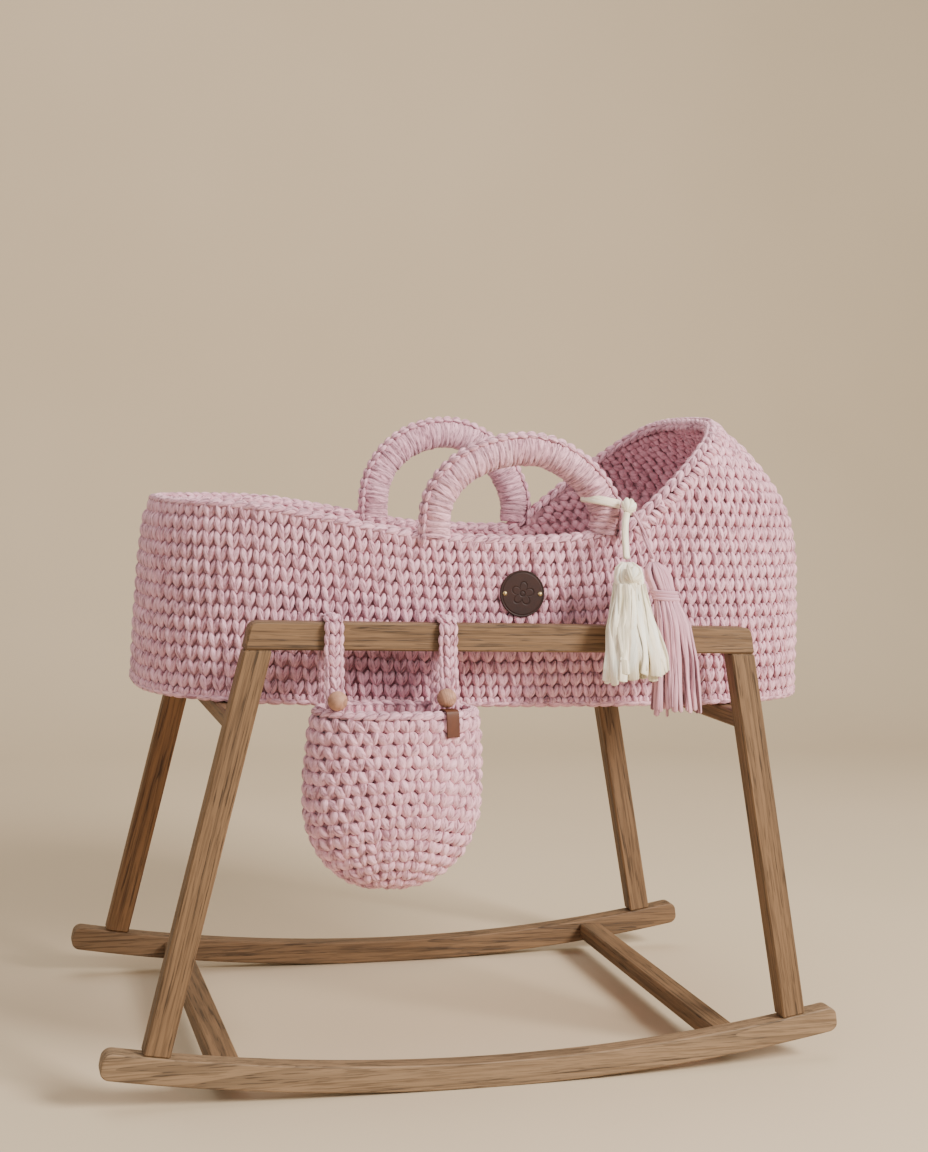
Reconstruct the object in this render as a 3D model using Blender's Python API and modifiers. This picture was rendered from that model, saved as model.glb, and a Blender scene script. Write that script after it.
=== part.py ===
"""Moses basket of crocheted yarn on a rocking oak stand, with a crocheted pocket on the front rail.

Everything is modelled about the stand's own centre, on the floor, +X towards the hood and -Y to the front,
and the whole is then moved so that the origin is the centre of the footprint box.
"""

import math

import bmesh
import bpy
from mathutils import Matrix, Vector

# ---------------------------------------------------------------- driving dimensions, metres
GAP = 0.0003                 # gap that touching pieces keep
STAND_X = -0.0064            # the stand's centre in the part's frame
STAND_Y = 0.0266

# Stand
TIMBER = 0.0213              # thickness of every frame timber, front to back
STAND_DEPTH = 0.4525         # outer face to outer face
FRAME_Y = (STAND_DEPTH - TIMBER) / 2
INNER_Y = STAND_DEPTH / 2 - TIMBER
RAIL_TOP = 0.484
RAIL_HEIGHT = 0.028
RAIL_BOTTOM = RAIL_TOP - RAIL_HEIGHT
RAIL_HALF = 0.275            # half length of the top rail at its lower edge
RAIL_CORNER = 0.009
LEG_SPLAY = 0.2151           # outward run of a leg for each metre of drop
LEG_WIDTH = 0.0278
ROCKER_RADIUS = 2.252
ROCKER_HEIGHT = 0.0274
ROCKER_HALF = 0.405
ROCKER_FACETS = 9            # flats along the underside; the middle one is the resting face
ROCKER_CORNER = 0.010
CROSS_X = 0.2774
CROSS_WIDTH = 0.0215
CROSS_HEIGHT = 0.0178
CROSS_TOP = 0.3912
STRETCHER_X = 0.2754
STRETCHER_WIDTH = 0.028
STRETCHER_TOP = 0.0397
STRETCHER_HEIGHT = 0.020
EDGE_ROUND = 0.0018          # softened edges of all timber
TENON_LENGTH = 0.030
TENON_WIDTH = 0.012
TENON_THICKNESS = 0.007

# Basket
BASKET_BOTTOM = 0.3915
BASKET_X = 0.0290            # middle of the basket along the stand
BASKET_HALF_LENGTH = 0.387
BASKET_HALF_WIDTH = 0.181
PLAN_POWER = 2.9             # how square the oval plan is
TAPER = 0.0085               # how far the wall leans in by TAPER_HEIGHT
TAPER_HEIGHT = 0.19
BASE_ROUND = 0.004
WALL = 0.012
DOME_START = 0.560           # height where the walls begin to curve over
DOME_HEIGHT = 0.219
DOME_POWER = 1.8             # roundness of the hood along the basket
DOME_SHOULDER = 0.6          # extra squareness of the hood across the basket
RIM_LOW = 0.5685             # rim height at the middle of the basket
RIM_FOOT_RISE = 0.027
RIM_FOOT_START = -0.04
RIM_FOOT_RUN = 0.26
RIM_HEAD_RISE = 0.008
RIM_HEAD_RUN = 0.109
RIM_SKEW = 0.075             # how much nearer the hood the rear rim dips
HOOD_TIP_X = 0.2876          # front edge of the hood, on the centre line
HOOD_TIP_Z = 0.7144
HOOD_SLOPE = 0.92            # rise over run of the hood's slanting mouth
RIM_BLEND = 0.003
PLAN_STEPS = 64
WALL_ROWS = 12
BOARD_THICKNESS = 0.004
BOARD_MARGIN = 0.0225
MATTRESS_THICKNESS = 0.030
MATTRESS_MARGIN = 0.0240
MATTRESS_ROUND = 0.008

# Handles: feet along the rim, crown height, and the side of the basket
HANDLE_Y = 0.167
COVER_WALL = 0.0028
FOOT_GAP = 0.0058
# flank is how far the hood-side half of the arch is drawn in at its middle
FRONT_HANDLE = {"feet": (-0.0705, 0.1185), "crown": 0.6630, "flank": 0.0110, "radius": 0.0165, "side": -1}
REAR_HANDLE = {"feet": (-0.0545, 0.1290), "crown": 0.6830, "flank": 0.0080, "radius": 0.0180, "side": 1}
HANDLE_STEPS = 18
TUBE_SIDES = 8

# Round leather patch on the front wall
PATCH_X = 0.0242
PATCH_Z = 0.5125
PATCH_RADIUS = 0.0247
PATCH_THICKNESS = 0.0025
PATCH_LIFT = 0.0012           # the flat patch stands off the slightly hollow-backed wall
STUD_OFFSET = 0.0195
STUD_RADIUS = 0.0012
STUD_HEAD = 0.0024

# Pocket on the front rail
POCKET_X = -0.122
POCKET_Y = -0.2325
POCKET_MOUTH_Z = 0.4005
POCKET_BOTTOM = 0.2194
POCKET_HALF_WIDTH = 0.0893
POCKET_HALF_DEPTH = 0.0465
POCKET_MOUTH_NARROWING = 0.0065
POCKET_BELLY_Z = 0.315       # height below which the pocket rounds in
POCKET_POWER = 2.3
POCKET_WALL = 0.009
STRAP_X = (-0.1872, -0.0700)
STRAP_WIDTH = 0.020
STRAP_THICKNESS = 0.005
STRAP_END_Z = 0.4085
STRAP_CLEAR = 0.0012
BEAD_RADIUS = 0.010
BEAD_HOLE = 0.002
LEFT_BEAD = Vector((-0.1880, -0.2600, 0.4112))       # sewn on the rim in front of the left loop
RIGHT_BEAD = Vector((-0.0775, -0.2590, 0.4138))      # sewn on top of the front rim
TAG_X = -0.0755
TAG_WIDTH = 0.0145
TAG_DROP = 0.026
TAG_THICKNESS = 0.0016

# Tassels on the front handle
KNOT = Vector((0.1345, -0.1880, 0.6075))
KNOT_RADIUS = 0.0085
TIE_ANGLE = 0.18             # place of the tie round the handle's leg, radians up the arch
TIE_RADIUS = 0.0036
CREAM_CORD_RADIUS = 0.0034
PINK_CORD_RADIUS = 0.0022
CREAM_CORD = [(0.1300, -0.1975, 0.5975), (0.1270, -0.2030, 0.5880), (0.1250, -0.2085, 0.5780),
              (0.1240, -0.2140, 0.5680), (0.1236, -0.2190, 0.5585), (0.1235, -0.2212, 0.5535)]
PINK_CORD = [(0.1410, -0.1965, 0.6015), (0.1440, -0.2010, 0.5925), (0.1470, -0.2058, 0.5820),
             (0.1500, -0.2105, 0.5715), (0.1525, -0.2150, 0.5610), (0.1540, -0.2175, 0.5545)]
# Each ring: height, middle x, middle y, half width, half depth
CREAM_TASSEL = [(0.5500, 0.1235, -0.2225, 0.006, 0.005), (0.5440, 0.1235, -0.2245, 0.0145, 0.012),
                (0.5340, 0.1238, -0.2280, 0.0175, 0.014), (0.5230, 0.1238, -0.2320, 0.0145, 0.012),
                (0.5120, 0.1235, -0.2360, 0.0185, 0.013), (0.4840, 0.1225, -0.2450, 0.0265, 0.014),
                (0.4550, 0.1225, -0.2590, 0.0315, 0.015), (0.4300, 0.1232, -0.2650, 0.0345, 0.016)]
PINK_TASSEL = [(0.5510, 0.1545, -0.2195, 0.005, 0.004), (0.5460, 0.1565, -0.2210, 0.0130, 0.009),
               (0.5360, 0.1595, -0.2240, 0.0155, 0.011), (0.5250, 0.1620, -0.2280, 0.0135, 0.010),
               (0.5130, 0.1655, -0.2325, 0.0135, 0.010), (0.4900, 0.1705, -0.2400, 0.0190, 0.011),
               (0.4500, 0.1760, -0.2430, 0.0235, 0.011), (0.3970, 0.1790, -0.2440, 0.0275, 0.012)]
BAND_Z = (0.5140, 0.5235)

MATERIALS = {
    "oak": ((0.32, 0.20, 0.11), 0.55, 0.0),
    "beech": ((0.45, 0.30, 0.17), 0.60, 0.0),
    "plywood": ((0.52, 0.37, 0.22), 0.60, 0.0),
    "pink_yarn": ((0.60, 0.33, 0.37), 0.90, 0.0),
    "cream_yarn": ((0.83, 0.79, 0.62), 0.90, 0.0),
    "core_rope": ((0.70, 0.68, 0.62), 0.90, 0.0),
    "white_cotton": ((0.85, 0.84, 0.81), 0.90, 0.0),
    "dark_leather": ((0.09, 0.045, 0.035), 0.50, 0.0),
    "tan_leather": ((0.30, 0.12, 0.045), 0.55, 0.0),
    "bead_wood": ((0.62, 0.43, 0.26), 0.50, 0.0),
    "brass": ((0.55, 0.42, 0.22), 0.35, 1.0),
}


# ---------------------------------------------------------------- scene and shared helpers
def clear_scene():
    for obj in list(bpy.data.objects):
        bpy.data.objects.remove(obj, do_unlink=True)


def new_collection(name):
    collection = bpy.data.collections.new(name)
    bpy.context.scene.collection.children.link(collection)
    return collection


def new_material(name):
    colour, roughness, metallic = MATERIALS[name]
    material = bpy.data.materials.new(name)
    material.use_nodes = True
    shader = material.node_tree.nodes["Principled BSDF"]
    shader.inputs["Base Color"].default_value = (*colour, 1.0)
    shader.inputs["Roughness"].default_value = roughness
    shader.inputs["Metallic"].default_value = metallic
    return material


clear_scene()
PARTS = new_collection("bassinet_on_stand")
CUTTERS = new_collection("cutters")
FINISH = {name: new_material(name) for name in MATERIALS}


def new_pivot(name, at, parent=None):
    """Empty on a joint's axis, at a place given about the stand's centre."""
    pivot = bpy.data.objects.new(name, None)
    pivot.empty_display_size = 0.03
    PARTS.objects.link(pivot)
    pivot["at"] = tuple(at)
    pivot.location = Vector(at) - (Vector(parent["at"]) if parent else Vector())
    pivot.parent = parent
    return pivot


def add_part(name, mesh, finish, pivot):
    """Object for a mesh drawn about the stand's centre, hung on the pivot it moves with."""
    obj = bpy.data.objects.new(name, mesh)
    obj.location = -Vector(pivot["at"])
    obj.parent = pivot
    mesh.materials.clear()
    mesh.materials.append(FINISH[finish])
    PARTS.objects.link(obj)
    return obj


def add_cutter(name, mesh, pivot):
    cutter = bpy.data.objects.new(name, mesh)
    cutter.location = -Vector(pivot["at"])
    cutter.parent = pivot
    cutter.hide_render = True
    cutter.display_type = "WIRE"
    CUTTERS.objects.link(cutter)
    return cutter


def combine(obj, tool, operation):
    modifier = obj.modifiers.new(operation.lower() + "_" + tool.name, "BOOLEAN")
    modifier.operation = operation
    modifier.object = tool


def mesh_from_bmesh(name, bm):
    mesh = bpy.data.meshes.new(name)
    bm.to_mesh(mesh)
    bm.free()
    return mesh


def box_mesh(name, centre, size, turn=None):
    bm = bmesh.new()
    bmesh.ops.create_cube(bm, size=1.0)
    place = Matrix.Translation(centre) @ (turn.to_4x4() if turn else Matrix()) @ Matrix.Diagonal((*size, 1.0))
    bm.transform(place)
    return mesh_from_bmesh(name, bm)


def cylinder_mesh(name, centre, radius, length, turn, sides=12):
    bm = bmesh.new()
    bmesh.ops.create_cone(bm, cap_ends=True, segments=sides, radius1=radius, radius2=radius, depth=length)
    bm.transform(Matrix.Translation(centre) @ turn.to_4x4())
    return mesh_from_bmesh(name, bm)


def mesh_from_curve(curve, turn=None, at=(0, 0, 0)):
    """Closed mesh of a curve's evaluated shape, its caps welded on."""
    guide = bpy.data.objects.new(curve.name, curve)
    CUTTERS.objects.link(guide)
    bpy.context.view_layer.update()
    evaluated = guide.evaluated_get(bpy.context.evaluated_depsgraph_get())
    mesh = bpy.data.meshes.new_from_object(evaluated)
    bpy.data.objects.remove(guide)
    bm = bmesh.new()
    bm.from_mesh(mesh)
    bmesh.ops.remove_doubles(bm, verts=bm.verts, dist=0.00001)
    bmesh.ops.dissolve_limit(bm, angle_limit=0.002, verts=bm.verts, edges=bm.edges)
    bm.transform(Matrix.Translation(at) @ (turn.to_4x4() if turn else Matrix()))
    bm.to_mesh(mesh)
    bm.free()
    return mesh


ALONG_Y = Matrix.Rotation(math.pi / 2, 3, "X")
ALONG_X = Matrix.Rotation(math.pi / 2, 3, "Z") @ ALONG_Y


def plate_mesh(name, outline, thickness, turn=None, at=(0, 0, 0)):
    """Flat outline made thick along its own normal."""
    curve = bpy.data.curves.new(name, "CURVE")
    curve.dimensions = "2D"
    curve.fill_mode = "BOTH"
    curve.extrude = thickness / 2
    spline = curve.splines.new("POLY")
    spline.points.add(len(outline) - 1)
    for point, (u, v) in zip(spline.points, outline):
        point.co = (u, v, 0, 1)
    spline.use_cyclic_u = True
    return mesh_from_curve(curve, turn, at)


def tube_mesh(name, points, radius, scales=None, caps=True):
    """Round tube along points; scales change its radius from point to point."""
    curve = bpy.data.curves.new(name, "CURVE")
    curve.dimensions = "3D"
    curve.bevel_depth = radius
    curve.bevel_resolution = TUBE_SIDES // 2 - 2
    curve.use_fill_caps = caps
    spline = curve.splines.new("POLY")
    spline.points.add(len(points) - 1)
    for index, place in enumerate(points):
        spline.points[index].co = (*place, 1)
        spline.points[index].radius = scales[index] if scales else 1.0
    return mesh_from_curve(curve)


def loft_mesh(name, rings, cap_low=True, cap_high=True):
    """Skin over rings of equal count that run anticlockwise from above, lowest ring first."""
    bm = bmesh.new()
    rows = [[bm.verts.new(place) for place in ring] for ring in rings]
    count = len(rings[0])
    for low, high in zip(rows, rows[1:]):
        for index in range(count):
            after = (index + 1) % count
            bm.faces.new((low[index], low[after], high[after], high[index]))
    if cap_low:
        bm.faces.new(reversed(rows[0]))
    if cap_high:
        bm.faces.new(rows[-1])
    return mesh_from_bmesh(name, bm)


def thicken(obj, wall):
    """Makes an open skin a shell, its thickness added inwards."""
    modifier = obj.modifiers.new("wall", "SOLIDIFY")
    modifier.thickness = wall
    modifier.offset = -1.0
    modifier.use_even_offset = True


def soften_edges(obj, width, segments=1):
    modifier = obj.modifiers.new("softened_edges", "BEVEL")
    modifier.width = width
    modifier.segments = segments
    modifier.limit_method = "ANGLE"
    modifier.angle_limit = math.radians(35)


def smooth(obj, angle=40):
    obj.data.shade_smooth()
    obj.data.set_sharp_from_angle(angle=math.radians(angle))


def signed_power(value, power):
    return math.copysign(abs(value) ** power, value)


def fillet(outline, radius, corners, steps=4):
    """Outline with the numbered corners rounded."""
    rounded = []
    for index, (u, v) in enumerate(outline):
        if index not in corners:
            rounded.append((u, v))
            continue
        here = Vector((u, v))
        before = (Vector(outline[index - 1]) - here).normalized()
        after = (Vector(outline[(index + 1) % len(outline)]) - here).normalized()
        half = before.angle(after) / 2
        reach = radius / math.tan(half)
        centre = here + (before + after).normalized() * radius / math.sin(half)
        start = here + before * reach - centre
        end = here + after * reach - centre
        sweep = start.angle_signed(end)
        for step in range(steps + 1):
            spoke = start.copy()
            spoke.rotate(Matrix.Rotation(-sweep * step / steps, 2))
            rounded.append(tuple(centre + spoke))
    return rounded


# ---------------------------------------------------------------- pivots, one for each joint
ROOT = new_pivot("stand", (0, 0, 0))
ROOT.location = (STAND_X, STAND_Y, 0)
BASKET = new_pivot("basket_lift", (BASKET_X, 0, BASKET_BOTTOM), ROOT)
POCKET_LOOPS = new_pivot("pocket_slide", (POCKET_X, -FRAME_Y, RAIL_TOP), ROOT)
POCKET = new_pivot("pocket_swing", (POCKET_X, POCKET_Y, POCKET_MOUTH_Z), POCKET_LOOPS)
MATTRESS = new_pivot(
    "mattress_tip",
    (BASKET_X + BASKET_HALF_LENGTH - MATTRESS_MARGIN, 0,
     BASKET_BOTTOM + WALL + BOARD_THICKNESS + 2 * GAP + MATTRESS_THICKNESS),
    BASKET,
)


# ---------------------------------------------------------------- stand
def rocker_line(radius):
    """Corners of the flats along one edge of a rocker, left to right; the middle flat is level."""
    sweep = math.asin(ROCKER_HALF / ROCKER_RADIUS)
    centre = ROCKER_RADIUS * math.cos(sweep / ROCKER_FACETS)
    angles = [sweep * (2 * step / ROCKER_FACETS - 1) for step in range(ROCKER_FACETS + 1)]
    return [(radius * math.sin(angle), centre - radius * math.cos(angle)) for angle in angles]


def rocker_top_z(x):
    """Height of a rocker's upper edge."""
    line = rocker_line(ROCKER_RADIUS - ROCKER_HEIGHT)
    for (left, low), (right, high) in zip(line, line[1:]):
        if left <= x <= right:
            return low + (high - low) * (x - left) / (right - left)
    raise ValueError("beyond the rocker's end")


def leg_x(z):
    """Outer edge of a leg at a height."""
    return RAIL_HALF + LEG_SPLAY * (RAIL_BOTTOM - z)


def mirrored(outline, side):
    return [(x * side, z) for x, z in outline][::side]


def mortise(obj, centre, turn, pivot=None):
    """Slot for half of a loose tenon."""
    size = (TENON_WIDTH + 2 * GAP, TENON_THICKNESS + 2 * GAP, TENON_LENGTH + 2 * GAP)
    cutter = add_cutter(obj.name + "_mortise", box_mesh("mortise", centre, size, turn), pivot or ROOT)
    combine(obj, cutter, "DIFFERENCE")


def loose_tenon(name, centre, turn, pieces):
    """Hidden tenon that ties two pieces, and the slots it sits in."""
    size = (TENON_WIDTH, TENON_THICKNESS, TENON_LENGTH)
    tenon = add_part(name, box_mesh(name, centre, size, turn), "beech", ROOT)
    soften_edges(tenon, 0.0008)
    for piece in pieces:
        mortise(piece, centre, turn)


def top_rail(end, side):
    outer_top = RAIL_HALF - LEG_SPLAY * RAIL_HEIGHT
    low = RAIL_BOTTOM + GAP / 2
    outline = [(-RAIL_HALF, low), (RAIL_HALF, low), (outer_top, RAIL_TOP), (-outer_top, RAIL_TOP)]
    outline = fillet(outline, RAIL_CORNER, (2, 3))
    name = end + "_top_rail"
    rail = add_part(name, plate_mesh(name, outline, TIMBER, ALONG_Y, (0, side * FRAME_Y, 0)), "oak", ROOT)
    soften_edges(rail, EDGE_ROUND)
    return rail


def rocker(end, side):
    bottom = rocker_line(ROCKER_RADIUS)
    outline = bottom + rocker_line(ROCKER_RADIUS - ROCKER_HEIGHT)[::-1]
    last = len(bottom)
    outline = fillet(outline, ROCKER_CORNER, (0, last - 1, last, len(outline) - 1))
    name = end + "_rocker"
    piece = add_part(name, plate_mesh(name, outline, TIMBER, ALONG_Y, (0, side * FRAME_Y, 0)), "oak", ROOT)
    soften_edges(piece, EDGE_ROUND)
    return piece


def leg(end, side, hand, direction):
    top = RAIL_BOTTOM - GAP / 2
    foot_x = leg_x(ROCKER_HEIGHT * 2)
    outer_foot = rocker_top_z(foot_x) + GAP
    inner_foot = rocker_top_z(foot_x - LEG_WIDTH) + GAP
    outline = [
        (leg_x(inner_foot) - LEG_WIDTH, inner_foot),
        (leg_x(outer_foot), outer_foot),
        (leg_x(top), top),
        (leg_x(top) - LEG_WIDTH, top),
    ]
    name = f"{end}_{hand}_leg"
    outline = mirrored(outline, direction)
    piece = add_part(name, plate_mesh(name, outline, TIMBER, ALONG_Y, (0, side * FRAME_Y, 0)), "oak", ROOT)
    soften_edges(piece, EDGE_ROUND)
    return piece


def cross_piece(name, x, top, width, height):
    length = 2 * (INNER_Y - GAP)
    mesh = box_mesh(name, (x, 0, top - height / 2), (width, length, height))
    piece = add_part(name, mesh, "oak", ROOT)
    soften_edges(piece, EDGE_ROUND)
    return piece


def build_stand():
    rails, rockers, legs = {}, {}, {}
    ends = (("front", -1), ("rear", 1))
    hands = (("left", -1), ("right", 1))
    for end, side in ends:
        rails[end] = top_rail(end, side)
        rockers[end] = rocker(end, side)
        for hand, direction in hands:
            legs[end, hand] = leg(end, side, hand, direction)
    for hand, direction in hands:
        lean = Matrix.Rotation(-direction * math.atan(LEG_SPLAY), 3, "Y")
        rail_joint_x = direction * (leg_x(RAIL_BOTTOM) - LEG_WIDTH / 2)
        foot_x = leg_x(ROCKER_HEIGHT * 2) - LEG_WIDTH / 2
        foot_z = rocker_top_z(foot_x)
        cross = cross_piece(hand + "_cross_rail", direction * CROSS_X, CROSS_TOP, CROSS_WIDTH, CROSS_HEIGHT)
        stretcher = cross_piece(
            hand + "_stretcher", direction * STRETCHER_X, STRETCHER_TOP, STRETCHER_WIDTH, STRETCHER_HEIGHT
        )
        for end, side in ends:
            y = side * FRAME_Y
            pair = (rails[end], legs[end, hand])
            loose_tenon(f"{end}_{hand}_rail_tenon", (rail_joint_x, y, RAIL_BOTTOM), lean, pair)
            pair = (legs[end, hand], rockers[end])
            loose_tenon(f"{end}_{hand}_foot_tenon", (direction * foot_x, y, foot_z), lean, pair)
            inner = side * INNER_Y
            z = CROSS_TOP - CROSS_HEIGHT / 2
            pair = (cross, legs[end, hand])
            loose_tenon(f"{end}_{hand}_cross_tenon", (direction * CROSS_X, inner, z), ALONG_Y, pair)
            z = STRETCHER_TOP - STRETCHER_HEIGHT / 2
            pair = (stretcher, rockers[end])
            loose_tenon(f"{end}_{hand}_stretcher_tenon", (direction * STRETCHER_X, inner, z), ALONG_Y, pair)


# ---------------------------------------------------------------- basket
def plan_point(turn, inset, z):
    """Point of the basket's oval plan at a height; inset is in metres."""
    lean = TAPER * max(0.0, (z - BASKET_BOTTOM) / TAPER_HEIGHT) ** 2 + inset
    x = (BASKET_HALF_LENGTH - lean) * signed_power(math.cos(turn), 2 / PLAN_POWER)
    y = (BASKET_HALF_WIDTH - lean) * signed_power(math.sin(turn), 2 / PLAN_POWER)
    return x, y


def smooth_step(value):
    value = min(1.0, max(0.0, value))
    return value * value * (3 - 2 * value)


def rim_height(x, y):
    """Top edge of the shell: low in the middle, raised at the foot, and up the hood's mouth."""
    along = x - RIM_SKEW * (y / BASKET_HALF_WIDTH + 1) / 2
    body = RIM_LOW + RIM_FOOT_RISE * smooth_step((RIM_FOOT_START - along) / RIM_FOOT_RUN)
    body += RIM_HEAD_RISE * min(1.6, max(0.0, along / RIM_HEAD_RUN)) ** 2
    mouth = HOOD_TIP_Z + HOOD_SLOPE * (x - HOOD_TIP_X)
    difference = (body - mouth) / 2
    return (body + mouth) / 2 + math.sqrt(difference ** 2 + RIM_BLEND ** 2)


def dome_point(turn, climb):
    """Point of the upper wall or hood; climb runs from 0 at DOME_START to a quarter turn at the crown."""
    power = DOME_POWER + DOME_SHOULDER * math.sin(turn) ** 2
    shrink = math.cos(climb) ** (2 / power)
    z = DOME_START + DOME_HEIGHT * math.sin(climb) ** (2 / power)
    x, y = plan_point(turn, 0.0, min(z, DOME_START + 0.02))
    return Vector((BASKET_X + x * shrink, y * shrink, z))


def rim_climb(turn):
    """Climb at which the shell reaches its rim, by halving."""
    low, high = 0.0, math.pi / 2
    for _ in range(30):
        middle = (low + high) / 2
        place = dome_point(turn, middle)
        if place.z < rim_height(place.x, place.y):
            low = middle
        else:
            high = middle
    return low


def shell_profile(turn):
    """Dense line up the outside of the wall, from the base to the rim."""
    line = []
    for step in range(5):
        lift = step / 4 * math.pi / 2
        z = BASKET_BOTTOM + BASE_ROUND * (1 - math.cos(lift))
        x, y = plan_point(turn, BASE_ROUND * (1 - math.sin(lift)), z)
        line.append(Vector((BASKET_X + x, y, z)))
    for step in range(1, 12):
        z = BASKET_BOTTOM + BASE_ROUND + (DOME_START - BASKET_BOTTOM - BASE_ROUND) * step / 12
        x, y = plan_point(turn, 0.0, z)
        line.append(Vector((BASKET_X + x, y, z)))
    end = rim_climb(turn)
    line += [dome_point(turn, end * step / 24) for step in range(25)]
    return line


def evenly_spaced(line, count):
    """Points at equal distances along a line."""
    lengths = [0.0]
    for a, b in zip(line, line[1:]):
        lengths.append(lengths[-1] + (b - a).length)
    result = []
    index = 0
    for step in range(count):
        goal = lengths[-1] * step / (count - 1)
        while index < len(line) - 2 and lengths[index + 1] < goal:
            index += 1
        share = (goal - lengths[index]) / (lengths[index + 1] - lengths[index])
        result.append(line[index].lerp(line[index + 1], share))
    return result


def basket_shell():
    turns = [2 * math.pi * step / PLAN_STEPS for step in range(PLAN_STEPS)]
    columns = [evenly_spaced(shell_profile(turn), WALL_ROWS + 1) for turn in turns]
    rings = [[column[row] for column in columns] for row in range(WALL_ROWS + 1)]
    mesh = loft_mesh("basket_shell", rings, cap_high=False)
    shell = add_part("basket_shell", mesh, "pink_yarn", BASKET)
    thicken(shell, WALL)
    smooth(shell)


def inner_oval(margin, z, steps):
    turns = [2 * math.pi * step / steps for step in range(steps)]
    places = [plan_point(turn, margin, z) for turn in turns]
    return [(BASKET_X + x, y) for x, y in places]


def base_board():
    z = BASKET_BOTTOM + WALL + GAP + BOARD_THICKNESS / 2
    mesh = plate_mesh("base_board", inner_oval(BOARD_MARGIN, z, 40), BOARD_THICKNESS, at=(0, 0, z))
    add_part("base_board", mesh, "plywood", BASKET)


def mattress():
    low = BASKET_BOTTOM + WALL + BOARD_THICKNESS + 2 * GAP
    high = low + MATTRESS_THICKNESS
    levels = ((low, MATTRESS_ROUND), (low + MATTRESS_ROUND, 0.0), (high - MATTRESS_ROUND, 0.0), (high, MATTRESS_ROUND))
    rings = []
    for z, inset in levels:
        rings.append([(x, y, z) for x, y in inner_oval(MATTRESS_MARGIN + inset, low, 36)])
    pad = add_part("mattress", loft_mesh("mattress", rings), "white_cotton", MATTRESS)
    smooth(pad)


def leather_patch():
    _, wall_y = plan_point(math.pi / 2, 0.0, PATCH_Z)
    tilt = math.atan(2 * TAPER * (PATCH_Z - BASKET_BOTTOM) / TAPER_HEIGHT ** 2)
    turn = Matrix.Rotation(-tilt, 3, "X")
    across = turn @ ALONG_Y
    centre = Vector((PATCH_X, -wall_y - PATCH_LIFT - PATCH_THICKNESS / 2, PATCH_Z))
    mesh = cylinder_mesh("leather_patch", centre, PATCH_RADIUS, PATCH_THICKNESS, across, 32)
    patch = add_part("leather_patch", mesh, "dark_leather", BASKET)
    soften_edges(patch, 0.0005)
    for hand, direction in (("left", -1), ("right", 1)):
        place = centre + Vector((direction * STUD_OFFSET, 0, 0))
        hole = cylinder_mesh("stud_hole", place, STUD_RADIUS + GAP, PATCH_THICKNESS * 3, across, 12)
        combine(patch, add_cutter("stud_hole_" + hand, hole, BASKET), "DIFFERENCE")
        stud("patch_stud_" + hand, place, tilt)


def stud(name, place, tilt):
    """Small domed stud, turned about its own axis, head to the front."""
    stem_end = PATCH_THICKNESS / 2 - GAP
    head_seat = PATCH_THICKNESS / 2 + GAP
    crown = head_seat + 0.0010
    profile = [(0.0, crown), (STUD_HEAD * 0.6, crown - 0.0003), (STUD_HEAD, head_seat),
               (STUD_RADIUS, head_seat), (STUD_RADIUS, -stem_end), (0.0, -stem_end)]
    mesh = bpy.data.meshes.new(name)
    edges = [(index, index + 1) for index in range(len(profile) - 1)]
    mesh.from_pydata([(radius, 0.0, height) for radius, height in profile], edges, [])
    piece = add_part(name, mesh, "brass", BASKET)
    piece.location = place - Vector(BASKET["at"])
    piece.rotation_euler = (math.pi / 2 - tilt, 0, 0)
    screw = piece.modifiers.new("turned", "SCREW")
    screw.steps = 12
    screw.render_steps = 12
    screw.use_merge_vertices = True
    screw.merge_threshold = 0.00001


# ---------------------------------------------------------------- handles
def foot_centre(handle, x):
    """Middle of the round end that rests on the rim, lifted clear of the rim's slope."""
    radius = handle["radius"]
    y = handle["side"] * HANDLE_Y
    steps = [radius * (step / 8 - 1) for step in range(17)]
    heights = [rim_height(x + step, y) + math.sqrt(radius ** 2 - step ** 2) for step in steps]
    return Vector((x, y, max(heights) + FOOT_GAP))


def arch_point(handle, turn):
    """Middle of the handle's tube; turn runs from 0 at the hood-side foot to a half turn."""
    left, right = (foot_centre(handle, x) for x in handle["feet"])
    middle = (left + right) / 2
    rise = Vector((0, 0, handle["crown"] - middle.z))
    draw_in = Vector((-handle["flank"] * max(0.0, math.sin(2 * turn)), 0, 0))
    return middle + (right - left) / 2 * math.cos(turn) + rise * math.sin(turn) + draw_in


def build_handle(name, handle):
    radius = handle["radius"]
    left, right = (foot_centre(handle, x) for x in handle["feet"])
    pivot = new_pivot(name + "_fold", (left + right) / 2, BASKET)
    arch = [arch_point(handle, math.pi * step / HANDLE_STEPS) for step in range(HANDLE_STEPS + 1)]
    core_radius = radius * math.cos(math.pi / TUBE_SIDES) - COVER_WALL - GAP
    core = add_part(name + "_core", tube_mesh(name + "_core", arch, core_radius), "core_rope", pivot)
    smooth(core)
    drops = [radius * part for part in (0.35, 0.68, 0.88)]
    sizes = [math.sqrt(1 - (drop / radius) ** 2) for drop in drops]
    down = Vector((0, 0, -1))
    line = [right + down * drop for drop in reversed(drops)] + arch + [left + down * drop for drop in drops]
    scales = sizes[::-1] + [1.0] * len(arch) + sizes
    mesh = tube_mesh(name + "_cover", line, radius, scales, caps=False)
    cover = add_part(name + "_cover", mesh, "pink_yarn", pivot)
    thicken(cover, COVER_WALL)
    smooth(cover)
    return pivot


# ---------------------------------------------------------------- tassels
def ellipse_ring(z, x, y, half_width, half_depth, sides=14):
    turns = [2 * math.pi * step / sides for step in range(sides)]
    return [(x + half_width * math.cos(t), y + half_depth * math.sin(t), z) for t in turns]


def tassel(name, table, finish, pivot):
    rings = [ellipse_ring(*row) for row in reversed(table)]
    piece = add_part(name, loft_mesh(name, rings), finish, pivot)
    smooth(piece, 60)
    return piece


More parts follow.
